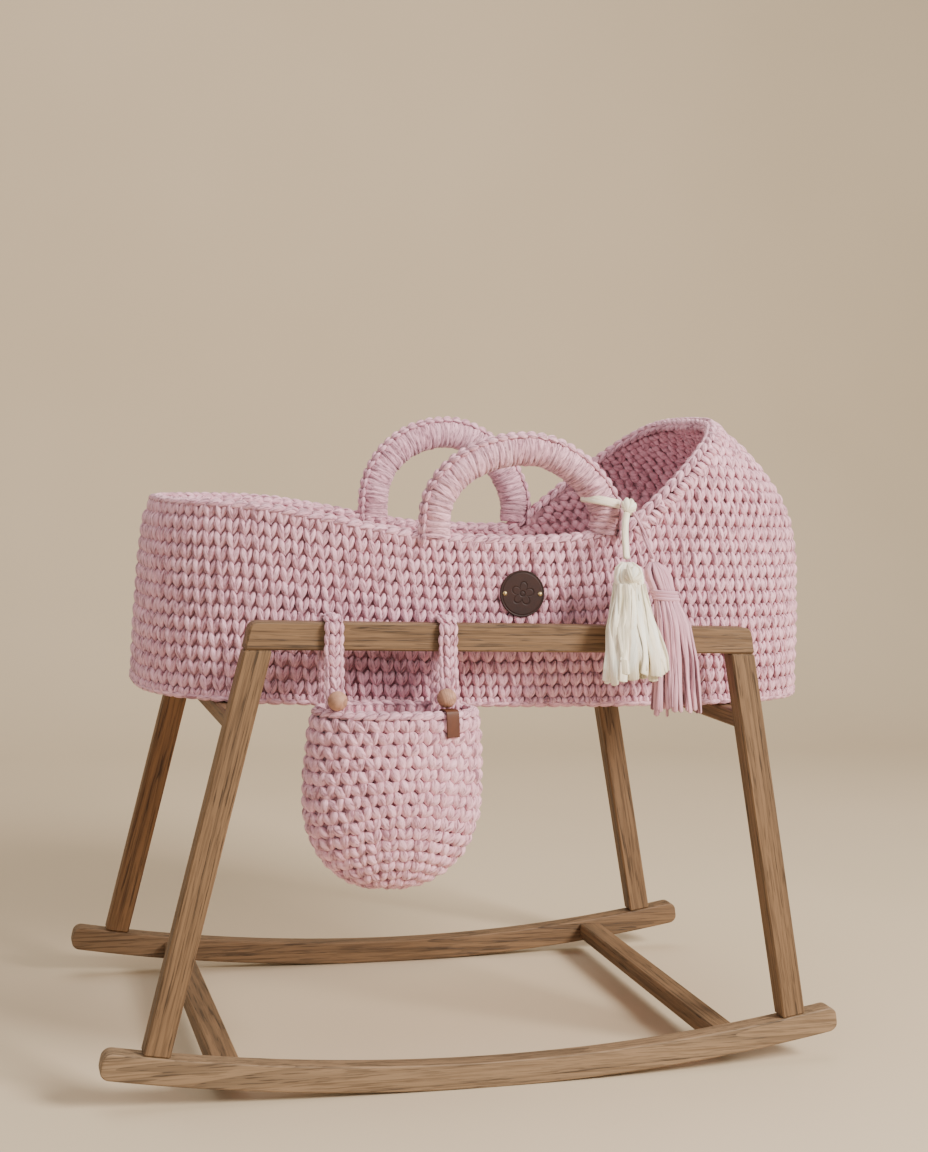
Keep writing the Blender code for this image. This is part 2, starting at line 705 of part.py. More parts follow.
def tie_round_leg(handle_pivot):
    """Yarn wound level round the front handle's leaning leg and knotted at its outer side."""
    centre = arch_point(FRONT_HANDLE, TIE_ANGLE)
    ahead = (arch_point(FRONT_HANDLE, TIE_ANGLE + 0.02) - centre).normalized()
    half_depth = FRONT_HANDLE["radius"] + TIE_RADIUS + 4 * GAP
    half_width = half_depth / ahead.z
    steps = [2 * math.pi * step / 24 for step in range(24)]
    ring = [centre + Vector((half_width * math.cos(t), half_depth * math.sin(t), 0)) for t in steps]
    curve = bpy.data.curves.new("cream_tie", "CURVE")
    curve.dimensions = "3D"
    curve.bevel_depth = TIE_RADIUS
    curve.bevel_resolution = 1
    spline = curve.splines.new("POLY")
    spline.points.add(len(ring) - 1)
    for point, place in zip(spline.points, ring):
        point.co = (*place, 1)
    spline.use_cyclic_u = True
    tie = add_part("cream_tie", mesh_from_curve(curve), "cream_yarn", handle_pivot)
    bm = bmesh.new()
    bmesh.ops.create_uvsphere(bm, u_segments=12, v_segments=8, radius=KNOT_RADIUS)
    bm.transform(Matrix.Translation(KNOT))
    combine(tie, add_cutter("cream_knot", mesh_from_bmesh("cream_knot", bm), handle_pivot), "UNION")


def tassel_band(pivot):
    """Collar of yarn that binds the pink tassel's neck."""
    low, high = BAND_Z
    middle = (low + high) / 2
    table = [row for row in PINK_TASSEL if abs(row[0] - middle) < 0.02]
    upper, lower = table[0], table[-1]

    def neck(z):
        share = (upper[0] - z) / (upper[0] - lower[0])
        return [a + (b - a) * share for a, b in zip(upper[1:3], lower[1:3])]

    rings = [ellipse_ring(z, *neck(z), 0.0165, 0.0125, 20) for z in (low, high)]
    band = add_part("pink_tassel_band", loft_mesh("pink_tassel_band", rings), "pink_yarn", pivot)
    inner = [ellipse_ring(z, *neck(z), 0.0149, 0.0113, 20) for z in (low - 0.01, high + 0.01)]
    combine(band, add_cutter("band_bore", loft_mesh("band_bore", inner), pivot), "DIFFERENCE")


def build_tassels(handle_pivot):
    tie_round_leg(handle_pivot)
    cords = (("cream", CREAM_CORD, CREAM_CORD_RADIUS, CREAM_TASSEL), ("pink", PINK_CORD, PINK_CORD_RADIUS, PINK_TASSEL))
    for name, route, radius, table in cords:
        hanger = new_pivot(name + "_hanger", KNOT, handle_pivot)
        cord = add_part(name + "_cord", tube_mesh(name + "_cord", route, radius), name + "_yarn", hanger)
        smooth(cord, 60)
        swing = new_pivot(name + "_tassel_swing", route[-1], hanger)
        tassel(name + "_tassel", table, name + "_yarn", swing)
        if name == "pink":
            tassel_band(swing)


# ---------------------------------------------------------------- pocket
def pocket_widths(z):
    """Half width and half depth of the pocket at a height."""
    if z >= POCKET_BELLY_Z:
        share = (z - POCKET_BELLY_Z) / (POCKET_MOUTH_Z - POCKET_BELLY_Z)
        draw_in = POCKET_MOUTH_NARROWING * share ** 2
        return POCKET_HALF_WIDTH - draw_in, POCKET_HALF_DEPTH - draw_in * 0.6
    share = (POCKET_BELLY_Z - z) / (POCKET_BELLY_Z - POCKET_BOTTOM)
    rounding = (1 - share ** 2.2) ** (1 / 2.2)
    return POCKET_HALF_WIDTH * rounding, POCKET_HALF_DEPTH * rounding


def pocket_ring(z, sides):
    half_width, half_depth = pocket_widths(z)
    ring = []
    for step in range(sides):
        turn = 2 * math.pi * step / sides
        x = POCKET_X + half_width * signed_power(math.cos(turn), 2 / POCKET_POWER)
        y = POCKET_Y + half_depth * signed_power(math.sin(turn), 2 / POCKET_POWER)
        ring.append((x, y, z))
    return ring


def pocket_bag():
    drop = POCKET_BELLY_Z - POCKET_BOTTOM
    levels = [POCKET_BELLY_Z - drop * math.cos(math.radians(angle)) for angle in (16, 34, 52, 70)]
    levels += [POCKET_BELLY_Z + (POCKET_MOUTH_Z - POCKET_BELLY_Z) * step / 3 for step in range(4)]
    rings = [pocket_ring(z, 28) for z in levels]
    bag = add_part("pocket_bag", loft_mesh("pocket_bag", rings, cap_high=False), "pink_yarn", POCKET)
    thicken(bag, POCKET_WALL)
    smooth(bag)


def band_outline(line, thickness):
    """Closed outline of a band of even thickness along a line in its plane."""
    outer, inner = [], []
    for index, place in enumerate(line):
        here = Vector(place)
        before = Vector(line[max(0, index - 1)])
        after = Vector(line[min(len(line) - 1, index + 1)])
        along = (after - before).normalized()
        across = Vector((-along.y, along.x)) * thickness / 2
        outer.append(tuple(here + across))
        inner.append(tuple(here - across))
    return outer + inner[::-1]


def pocket_strap(name, x):
    """Band that hangs over the front rail, open at the bottom."""
    reach = STRAP_CLEAR + STRAP_THICKNESS / 2
    front = -STAND_DEPTH / 2 - reach
    rear = -INNER_Y + reach
    top = RAIL_TOP + reach
    corner = 0.006
    line = [(front - 0.0155, STRAP_END_Z), (front - 0.0020, RAIL_BOTTOM - 0.003), (front, RAIL_BOTTOM + 0.008)]
    for step in range(5):
        turn = math.pi / 2 * step / 4
        line.append((front + corner * (1 - math.cos(turn)), top - corner * (1 - math.sin(turn))))
    for step in range(5):
        turn = math.pi / 2 * step / 4
        line.append((rear - corner * (1 - math.sin(turn)), top - corner * (1 - math.cos(turn))))
    line += [(rear, RAIL_BOTTOM + 0.008), (rear - 0.0020, RAIL_BOTTOM - 0.003), (rear - 0.0080, STRAP_END_Z)]
    mesh = plate_mesh(name, band_outline(line, STRAP_THICKNESS), STRAP_WIDTH, ALONG_X, (x, 0, 0))
    strap = add_part(name, mesh, "pink_yarn", POCKET_LOOPS)
    soften_edges(strap, 0.0010)


def wooden_bead(name, place):
    bm = bmesh.new()
    bmesh.ops.create_uvsphere(bm, u_segments=16, v_segments=10, radius=BEAD_RADIUS)
    bm.transform(Matrix.Translation(place) @ ALONG_X.to_4x4())
    bead = add_part(name, mesh_from_bmesh(name, bm), "bead_wood", POCKET)
    hole = cylinder_mesh("bead_hole", place, BEAD_HOLE, BEAD_RADIUS * 3, ALONG_X, 8)
    combine(bead, add_cutter(name + "_hole", hole, POCKET), "DIFFERENCE")
    smooth(bead)


def leather_tag():
    """Strip folded over the pocket's front rim, turned to lie along the curved wall."""
    half_width, half_depth = pocket_widths(POCKET_MOUTH_Z)
    share = (TAG_X - POCKET_X) / half_width
    front = half_depth * (1 - share ** POCKET_POWER) ** (1 / POCKET_POWER)
    slope = half_depth / half_width * (share ** (POCKET_POWER - 1)) * (front / half_depth) ** (1 - POCKET_POWER)
    turn = Matrix.Rotation(math.atan(slope), 3, "Z")
    reach = 0.0006 + TAG_THICKNESS / 2
    outer = -reach - 0.0008
    inner = POCKET_WALL * 1.05 + reach
    top = POCKET_MOUTH_Z + reach + 0.0004
    line = [(outer - 0.0032, top - TAG_DROP), (outer - 0.0016, top - TAG_DROP / 2), (outer, top - 0.002),
            (outer + 0.002, top), (inner - 0.002, top), (inner, top - 0.002), (inner, top - 0.010)]
    place = (TAG_X, POCKET_Y - front, 0)
    mesh = plate_mesh("leather_tag", band_outline(line, TAG_THICKNESS), TAG_WIDTH, turn @ ALONG_X, place)
    add_part("leather_tag", mesh, "tan_leather", POCKET)


def build_pocket():
    pocket_bag()
    for hand, strap_x, bead in (("left", STRAP_X[0], LEFT_BEAD), ("right", STRAP_X[1], RIGHT_BEAD)):
        pocket_strap(hand + "_strap", strap_x)
        wooden_bead(hand + "_bead", bead)
    leather_tag()


# ---------------------------------------------------------------- assembly
build_stand()
basket_shell()
base_board()
mattress()
leather_patch()
front_pivot = build_handle("front_handle", FRONT_HANDLE)
build_handle("rear_handle", REAR_HANDLE)
build_tassels(front_pivot)
build_pocket()
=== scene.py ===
"""Looks of the bassinet on its stand: crocheted yarn, tassels, leather, beads, timber and the studio."""

import math

import bmesh
import bpy
import numpy as np
from mathutils import Matrix, Vector


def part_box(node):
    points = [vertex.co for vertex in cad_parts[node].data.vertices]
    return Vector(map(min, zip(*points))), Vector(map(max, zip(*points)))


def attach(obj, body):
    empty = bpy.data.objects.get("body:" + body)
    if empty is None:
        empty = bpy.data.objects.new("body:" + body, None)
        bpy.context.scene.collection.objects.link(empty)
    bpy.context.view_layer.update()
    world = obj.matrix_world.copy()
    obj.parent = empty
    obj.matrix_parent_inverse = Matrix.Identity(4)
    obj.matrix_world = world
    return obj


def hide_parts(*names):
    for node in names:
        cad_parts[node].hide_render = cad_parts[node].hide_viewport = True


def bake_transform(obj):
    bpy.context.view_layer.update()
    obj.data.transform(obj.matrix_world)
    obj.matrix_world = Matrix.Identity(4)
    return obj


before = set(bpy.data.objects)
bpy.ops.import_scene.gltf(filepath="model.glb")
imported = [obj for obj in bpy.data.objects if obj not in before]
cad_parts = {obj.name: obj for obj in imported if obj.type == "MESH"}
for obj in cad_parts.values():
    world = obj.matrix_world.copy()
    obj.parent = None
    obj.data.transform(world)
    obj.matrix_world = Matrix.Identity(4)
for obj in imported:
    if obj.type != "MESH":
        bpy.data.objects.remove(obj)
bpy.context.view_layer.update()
TAU = 2 * math.pi
QUARTER_TURN = math.pi / 2
RANDOM = np.random.default_rng(7)

# ---------------------------------------------------------------- places, from the frame
RAIL_LOW, RAIL_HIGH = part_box("front_top_rail")
REAR_RAIL_LOW, REAR_RAIL_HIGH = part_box("rear_top_rail")
SHELL_LOW, SHELL_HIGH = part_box("basket_shell")
STAND = Vector(((RAIL_LOW.x + RAIL_HIGH.x) / 2, (RAIL_LOW.y + REAR_RAIL_HIGH.y) / 2, 0))

# ---------------------------------------------------------------- basket, the design's own numbers in metres
BASKET = Vector(((SHELL_LOW.x + SHELL_HIGH.x) / 2, STAND.y, SHELL_LOW.z))
HALF_LENGTH = (SHELL_HIGH.x - SHELL_LOW.x) / 2
HALF_WIDTH = (SHELL_HIGH.y - SHELL_LOW.y) / 2
PLAN_POWER = 2.9
TAPER = 0.0085
TAPER_HEIGHT = 0.19
BASE_ROUND = 0.004
WALL = 0.012
DOME_START = BASKET.z + 0.1685
DOME_HEIGHT = 0.219
DOME_POWER = 1.8
DOME_SHOULDER = 0.6
RIM_LOW = BASKET.z + 0.177
RIM_FOOT_RISE = 0.027
RIM_FOOT_START = STAND.x - BASKET.x - 0.04
RIM_FOOT_RUN = 0.26
RIM_HEAD_START = STAND.x - BASKET.x
RIM_HEAD_RISE = 0.008
RIM_HEAD_RUN = 0.109
RIM_SKEW = 0.075
HOOD_TIP_X = STAND.x - BASKET.x + 0.2876
HOOD_TIP_Z = BASKET.z + 0.3229
HOOD_SLOPE = 0.92
RIM_BLEND = 0.003

# ---------------------------------------------------------------- stitches
STITCH_WIDTH = 0.0136
BODY_ROWS = 14
ROW_SHIFT = 0.16              # how far each round's stitches stand beside the next one's, in stitches
ROW_MIDDLE = 0.52             # where a stitch's middle is in its row's height
YARN_INSET = 0.0028           # how far the middle of the yarn lies inside the outer surface
YARN_HALF_THICKNESS = 0.0036
BACKING_DEPTH = 0.0042        # how far the plain body lies inside the outer surface
BACKING_REACH = 0.0090        # how far its inner face does
MATTRESS_TOP = 0.036          # arc up the wall below which no stitches are made inside
RIM_GAP = 0.0135              # distances between the loops of a rim, of the hood's mouth and of the base
MOUTH_GAP = 0.0092
BASE_GAP = 0.0150
# lines of a braided rim: inset and rise from the outer edge, slant of its loops, and how far it faces out
BASKET_LINES = (
    (0.0016, -0.0012, 0.0036, 0.9),
    (0.0062, 0.0014, -0.0030, 0.0),
    (0.0108, -0.0010, 0.0030, -0.9),
)
POCKET_LINES = ((0.0014, -0.0032, 0.0030, 0.9), (0.0046, -0.0016, -0.0026, 0.0))


# ---------------------------------------------------------------- camera and studio
def build_camera():
    """The picture's viewpoint: yaw, pitch, roll and place about the stand."""
    yaw, pitch, roll = (math.radians(angle) for angle in (17.1597, -3.9109, 2.4445))
    forward = Vector((math.sin(yaw) * math.cos(pitch), math.cos(yaw) * math.cos(pitch), math.sin(pitch)))
    level = Vector((math.cos(yaw), -math.sin(yaw), 0))
    upright = level.cross(forward)
    right = math.cos(roll) * level + math.sin(roll) * upright
    up = -math.sin(roll) * level + math.cos(roll) * upright
    data = bpy.data.cameras.new("camera")
    data.lens = 50.93
    data.sensor_width = 36
    camera = bpy.data.objects.new("camera", data)
    turn = Matrix((right, up, -forward)).transposed().to_4x4()
    camera.matrix_world = Matrix.Translation(STAND + Vector((-0.5387, -1.7931, 0.6452))) @ turn
    bpy.context.scene.collection.objects.link(camera)
    bpy.context.scene.camera = camera


def area_light(name, place, aim, size, power, colour):
    data = bpy.data.lights.new(name, "AREA")
    data.size = size
    data.energy = power
    data.color = colour
    light = bpy.data.objects.new(name, data)
    light.location = place
    light.rotation_euler = (Vector(aim) - Vector(place)).to_track_quat("-Z", "Y").to_euler()
    bpy.context.scene.collection.objects.link(light)


def build_studio():
    """Pale floor that sweeps up into a wall, a big soft key from the right and a weak fill."""
    front, back, reach, height, sweep = -6.0, 2.6, 5.0, 4.0, 0.9
    turns = np.linspace(0, QUARTER_TURN, 13)
    y = [front, *(back - sweep + sweep * np.sin(turns)), back]
    z = [0.0, *(sweep * (1 - np.cos(turns))), height]
    places = xyz(np.linspace(-reach, reach, 9)[:, None], y, z)
    floor = add_mesh("studio_floor", places, [grid_faces(9, len(y), False)])
    floor.data.materials.append(studio_finish())
    area_light("key", (1.9, -2.2, 2.1), (0.05, 0.0, 0.42), 1.1, 200, (1.0, 0.955, 0.89))
    area_light("fill", (-2.4, -2.4, 1.5), (0.0, 0.0, 0.4), 2.4, 24, (1.0, 0.97, 0.95))
    area_light("top", (-0.4, 0.3, 2.9), (0.0, 0.1, 0.4), 2.4, 40, (1.0, 0.97, 0.93))
    world = bpy.data.worlds.new("studio_air")
    world.use_nodes = True
    air = world.node_tree.nodes["Background"].inputs
    air["Color"].default_value = (1.0, 0.94, 0.87, 1)
    air["Strength"].default_value = 0.36
    bpy.context.scene.world = world


# ---------------------------------------------------------------- materials
class Shader:
    """Material with short ways to add and link its nodes."""

    def __init__(self, name, **constants):
        self.material = bpy.data.materials.new(name)
        self.material.use_nodes = True
        self.tree = self.material.node_tree
        self.bsdf = self.tree.nodes["Principled BSDF"]
        for socket, value in constants.items():
            self.put(self.bsdf, socket.replace("_", " "), value)

    def put(self, node, socket, value):
        target = node.inputs[socket]
        if isinstance(value, bpy.types.NodeSocket):
            self.tree.links.new(value, target)
        else:
            target.default_value = value

    def add(self, kind, inputs=None, **settings):
        node = self.tree.nodes.new("ShaderNode" + kind)
        for name, value in settings.items():
            setattr(node, name, value)
        for socket, value in (inputs or {}).items():
            self.put(node, socket, value)
        return node

    def noise(self, vector, scale, detail=3.0, roughness=0.55, distortion=0.0):
        inputs = {"Vector": vector, "Scale": scale, "Detail": detail, "Roughness": roughness}
        return self.add("TexNoise", {**inputs, "Distortion": distortion}).outputs["Fac"]

    def ramp(self, factor, *stops):
        node = self.add("ValToRGB", {"Fac": factor})
        ramp = node.color_ramp
        while len(ramp.elements) < len(stops):
            ramp.elements.new(0.5)
        for element, (position, colour) in zip(ramp.elements, stops):
            element.position = position
            element.color = (*colour, 1)
        return node.outputs["Color"]

    def grey(self, factor, low, high, at=(0.0, 1.0)):
        inputs = {"Value": factor, "From Min": at[0], "From Max": at[1], "To Min": low, "To Max": high}
        return self.add("MapRange", inputs).outputs["Result"]

    def mix(self, factor, *colours):
        first, second = ((*colour, 1) if isinstance(colour, tuple) else colour for colour in colours)
        return self.add("Mix", {0: factor, 6: first, 7: second}, data_type="RGBA").outputs[2]

    def maths(self, operation, first, second=0.0):
        return self.add("Math", {0: first, 1: second}, operation=operation).outputs[0]

    def attribute(self, name):
        return self.add("Attribute", attribute_name=name).outputs

    def bump(self, height, strength, distance, before=None):
        inputs = {"Height": height, "Strength": strength, "Distance": distance}
        if before is not None:
            inputs["Normal"] = before
        return self.add("Bump", inputs).outputs["Normal"]

    def place(self):
        return self.add("TexCoord").outputs["Object"]

    def stretch(self, vector, scale, turn=(0, 0, 0), shift=(0, 0, 0)):
        inputs = {"Vector": vector, "Scale": scale, "Rotation": turn, "Location": shift}
        return self.add("Mapping", inputs).outputs["Vector"]

    def finish(self, colour, roughness=None, normal=None):
        for socket, value in (("Base Color", colour), ("Roughness", roughness), ("Normal", normal)):
            if value is not None:
                self.put(self.bsdf, socket, value)
        return self.material


def dimmed(colour, share):
    return tuple(channel * share for channel in colour)


def studio_finish():
    shader = Shader("studio_paper", Roughness=0.9)
    cloud = shader.noise(shader.place(), 0.8, 3.0)
    return shader.finish(shader.ramp(cloud, (0.3, (0.60, 0.485, 0.335)), (0.7, (0.65, 0.53, 0.375))))


# depth sets how dark the painted shade is, in the tucks and in the creases of the folds
def yarn_finish(name, light, dark, folds=8.0, patch=0.10, depth=0.42, run=90.0):
    """T-shirt yarn: fine folds along each strand with painted shade in their creases and painted highlight on
    their ridges, a tone of its own, and painted shade where it tucks under.
    """
    shader = Shader(name, Roughness=0.88, Sheen_Weight=0.28, Sheen_Roughness=0.45, Specular_IOR_Level=0.25)
    parts = shader.add("SeparateXYZ", {"Vector": shader.attribute("strand")["Vector"]}).outputs
    crease = shader.attribute("crest")["Fac"]
    scales = {"X": folds, "Y": run, "Z": 61.0}
    scaled = {axis: shader.maths("MULTIPLY", parts[axis], scale) for axis, scale in scales.items()}
    fold = shader.noise(shader.add("CombineXYZ", scaled).outputs["Vector"], 1.0, 3.0, 0.6, 0.35)
    fibre = shader.noise(shader.place(), 2400.0, 2.0)
    patches = shader.noise(shader.place(), 9.0, 3.0)
    colour = shader.mix(shader.grey(parts["Z"], 0.0, 1.0), dark, light)
    red, green, blue = dimmed(light, 1 - 2.2 * patch)
    dusky = (red, green * 0.92, blue * 0.94)
    colour = shader.mix(shader.grey(patches, 0.0, 0.9, (0.46, 0.66)), colour, dusky)
    # deep: the dark colour that the painted shade mixes towards
    deep = tuple(channel ** 1.25 * depth for channel in dark)
    # painted shade on the side of each strand that faces into the work, where crest is low
    colour = shader.mix(shader.grey(crease, 0.80, 0.0, (0.10, 0.66)), colour, deep)
    # painted shade in the creases of the folds
    colour = shader.mix(shader.grey(fold, 0.80, 0.0, (0.38, 0.47)), colour, deep)
    # painted highlight on the ridges of the folds
    painted_highlight = tuple(min(1.0, channel * 1.22) for channel in light)
    colour = shader.mix(shader.grey(fold, 0.0, 0.75, (0.53, 0.63)), colour, painted_highlight)
    normal = shader.bump(fibre, 0.22, 0.0003, shader.bump(fold, 0.9, 0.0022))
    return shader.finish(colour, normal=normal)


def wood_finish(name, along, light, dark, seed=0.0, pores=0.85):
    """Open-grained timber; along turns the grain, which runs down X before it."""
    shader = Shader(name, Specular_IOR_Level=0.35)
    place = shader.stretch(shader.place(), (1, 1, 1), along, (seed * 1.7, seed * 2.3, seed * 3.1))
    streak = shader.noise(shader.stretch(place, (6.0, 260, 260)), 1.0, 4.0, 0.70)
    ring = shader.noise(shader.stretch(place, (0.45, 15, 15)), 1.0, 2.0, 0.5, 0.4)
    rings = shader.maths("FRACT", shader.maths("MULTIPLY", ring, 21.0))
    pore = shader.noise(shader.stretch(place, (26, 560, 560)), 1.0, 2.0, 0.6)
    colour = shader.ramp(streak, (0.30, dark), (0.52, light), (0.74, dimmed(light, 1.12)))
    colour = shader.mix(shader.grey(rings, 0.72, 0.0, (0.0, 0.42)), colour, dimmed(light, 0.50))
    open_pore = shader.grey(pore, 0.0, pores, (0.53, 0.61))
    gated = shader.maths("MULTIPLY", open_pore, shader.grey(rings, 1.0, 0.35, (0.0, 0.6)))
    colour = shader.mix(gated, colour, dimmed(dark, 0.42))
    roughness = shader.grey(streak, 0.50, 0.66)
    normal = shader.bump(streak, 0.12, 0.0010, shader.bump(gated, 0.5, 0.0006))
    return shader.finish(colour, roughness, normal)


def leather_finish(name, light, dark, roughness):
    """Smooth hide: fine pebbled grain, mottled colour."""
    shader = Shader(name, Specular_IOR_Level=0.30, Coat_Weight=0.04, Coat_Roughness=0.35)
    grain = shader.add("TexVoronoi", {"Vector": shader.place(), "Scale": 1500.0}).outputs["Distance"]
    cloud = shader.noise(shader.place(), 70.0, 4.0)
    edge = shader.attribute("crest")["Fac"]
    colour = shader.ramp(cloud, (0.32, dark), (0.68, light))
    colour = shader.mix(shader.grey(edge, 0.75, 0.0, (0.0, 0.8)), colour, dimmed(dark, 0.35))
    dull = shader.grey(cloud, roughness - 0.06, roughness + 0.10)
    return shader.finish(colour, dull, shader.bump(grain, 0.25, 0.0003))


def cotton_finish():
    """Plain-woven white cotton with a faint quilted softness."""
    shader = Shader("white_cotton_weave", Roughness=0.9, Sheen_Weight=0.2)
    place = shader.place()
    waves = {"Vector": place, "Scale": 900.0, "Distortion": 0.6}
    warp, weft = (shader.add("TexWave", waves, bands_direction=way).outputs["Fac"] for way in ("X", "Y"))
    weave = shader.maths("MULTIPLY", warp, weft)
    cloud = shader.noise(place, 12.0, 3.0)
    # uneven tone from the same cloud that dents the quilting, darker in its hollows: random tone with painted
    # shade
    colour = shader.ramp(cloud, (0.3, (0.78, 0.76, 0.72)), (0.7, (0.86, 0.85, 0.82)))
    return shader.finish(colour, normal=shader.bump(cloud, 0.3, 0.004, shader.bump(weave, 0.25, 0.0004)))


def rope_finish():
    """Laid strands of the hidden handle core."""
    shader = Shader("core_rope_lay", Roughness=0.9)
    place = shader.stretch(shader.place(), (1, 1, 1), (0.0, 0.7, 0.0))
    lay = shader.add("TexWave", {"Vector": place, "Scale": 60.0, "Distortion": 1.0}).outputs["Fac"]
    # darker in the grooves between the laid strands, where the lay's bump is low: painted shade
    colour = shader.ramp(lay, (0.2, (0.45, 0.42, 0.36)), (0.8, (0.72, 0.69, 0.62)))
    return shader.finish(colour, normal=shader.bump(lay, 0.6, 0.001))


def brass_finish():
    shader = Shader("satin_brass", Metallic=1.0)
    wear = shader.noise(shader.place(), 900.0, 4.0)
    colour = shader.ramp(wear, (0.3, (0.42, 0.30, 0.14)), (0.7, (0.62, 0.48, 0.26)))
    return shader.finish(colour, shader.grey(wear, 0.28, 0.46))


# ---------------------------------------------------------------- lines
def xyz(x, y, z):
    """Points from their coordinates, each an array or one number."""
    return np.stack(np.broadcast_arrays(x, y, z), axis=-1)


def unit(vectors):
    length = np.linalg.norm(vectors, axis=-1, keepdims=True)
    return vectors / np.maximum(length, 1e-12)


def lengths_along(lines):
    """Distance of each point from the start of its line."""
    gaps = np.linalg.norm(np.diff(lines, axis=-2), axis=-1)
    return np.concatenate([np.zeros_like(gaps[..., :1]), np.cumsum(gaps, axis=-1)], axis=-1)


def line_length(line):
    return float(np.linalg.norm(np.diff(line, axis=0), axis=1).sum())


def read_line(line, known, wanted):
    """Points of a line at wanted values of what is known at its points."""
    return np.stack([np.interp(wanted, known, line[:, axis]) for axis in range(3)], axis=1)


def even_points(line, count):
    """The same line with its points at even distances."""
    line = np.asarray(line, float)
    lengths = lengths_along(line)
    return read_line(line, lengths, np.linspace(0, lengths[-1], count))


def even_turns(places, turns, gap, first=0.0):
    """Turns at even distances along a row of places, with the distance that fits best."""
    lengths = lengths_along(places)
    count = max(1, round(lengths[-1] / gap))
    return np.interp((np.arange(count) + first) * lengths[-1] / count, lengths, turns)


def rounded(line, passes=3):
    """Corners of a line cut and cut again, its ends kept."""
    line = np.asarray(line, float)
    for _ in range(passes):
        cut = np.empty((2 * len(line) - 2, 3))
        cut[0::2] = line[:-1] * 0.75 + line[1:] * 0.25
        cut[1::2] = line[:-1] * 0.25 + line[1:] * 0.75
        line = np.concatenate([line[:1], cut, line[-1:]])
    return line


def on_stand(*place):
    return np.array(STAND) + np.array(place)


# ---------------------------------------------------------------- mesh helpers
def add_mesh(name, places, faces, strand=None, crest=None):
    """Smooth object from points and blocks of faces of equal length; strand and crest steer its material."""
    mesh = bpy.data.meshes.new(name)
    places = np.asarray(places, np.float32).reshape(-1, 3)
    mesh.vertices.add(len(places))
    mesh.vertices.foreach_set("co", places.ravel())
    corners = np.concatenate([block.ravel() for block in faces]).astype(np.int32)
    counts = np.concatenate([np.full(len(block), block.shape[1]) for block in faces])
    mesh.loops.add(len(corners))
    mesh.loops.foreach_set("vertex_index", corners)
    mesh.polygons.add(len(counts))
    mesh.polygons.foreach_set("loop_start", np.concatenate(([0], np.cumsum(counts)[:-1])).astype(np.int32))
    mesh.update(calc_edges=True)
    mesh.shade_smooth()
    steering = (("strand", strand, "FLOAT_VECTOR", "vector"), ("crest", crest, "FLOAT", "value"))
    for key, values, kind, field in steering:
        if values is not None:
            layer = mesh.attributes.new(key, kind, "POINT")
            layer.data.foreach_set(field, np.asarray(values, np.float32).ravel())
    obj = bpy.data.objects.new(name, mesh)
    bpy.context.scene.collection.objects.link(obj)
    return obj


def grid_faces(rows, columns, closed):
    """Quads between rows of points; closed joins each row's end to its start."""
    row = np.arange(rows - 1)[:, None] * columns
    column = np.arange(columns if closed else columns - 1)[None, :]
    after = (column + 1) % columns
    quads = np.stack([row + column, row + after, row + columns + after, row + columns + column], axis=-1)
    return quads.reshape(-1, 4)


def capped_rings(name, rings, strand=None, crest=None):
    """Closed skin over rings [count, sides, 3], with a flat face on the first and the last."""
    count, sides = np.shape(rings)[:2]
    ring = np.arange(sides)[None]
    faces = [grid_faces(count, sides, True), ring[:, ::-1], (count - 1) * sides + ring]
    return add_mesh(name, rings, faces, strand, crest)


def outward_faces(obj, weld=False):
    """Turn the faces of a closed piece to look outwards, after welding its seam if it has one."""
    mesh = bmesh.new()
    mesh.from_mesh(obj.data)
    if weld:
        bmesh.ops.remove_doubles(mesh, verts=mesh.verts, dist=1e-6)
    bmesh.ops.recalc_face_normals(mesh, faces=mesh.faces)
    mesh.to_mesh(obj.data)
    mesh.free()
    obj.data.shade_smooth()
    return obj


def finish_piece(obj, look, body, *replaced):
    """Give a piece its material, the body it rides on and the CAD nodes that it stands for."""
    material, slot = look
    obj.data.materials.clear()
    obj.data.materials.append(material)
    if body:
        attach(obj, body)
    if replaced:
        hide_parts(*replaced)


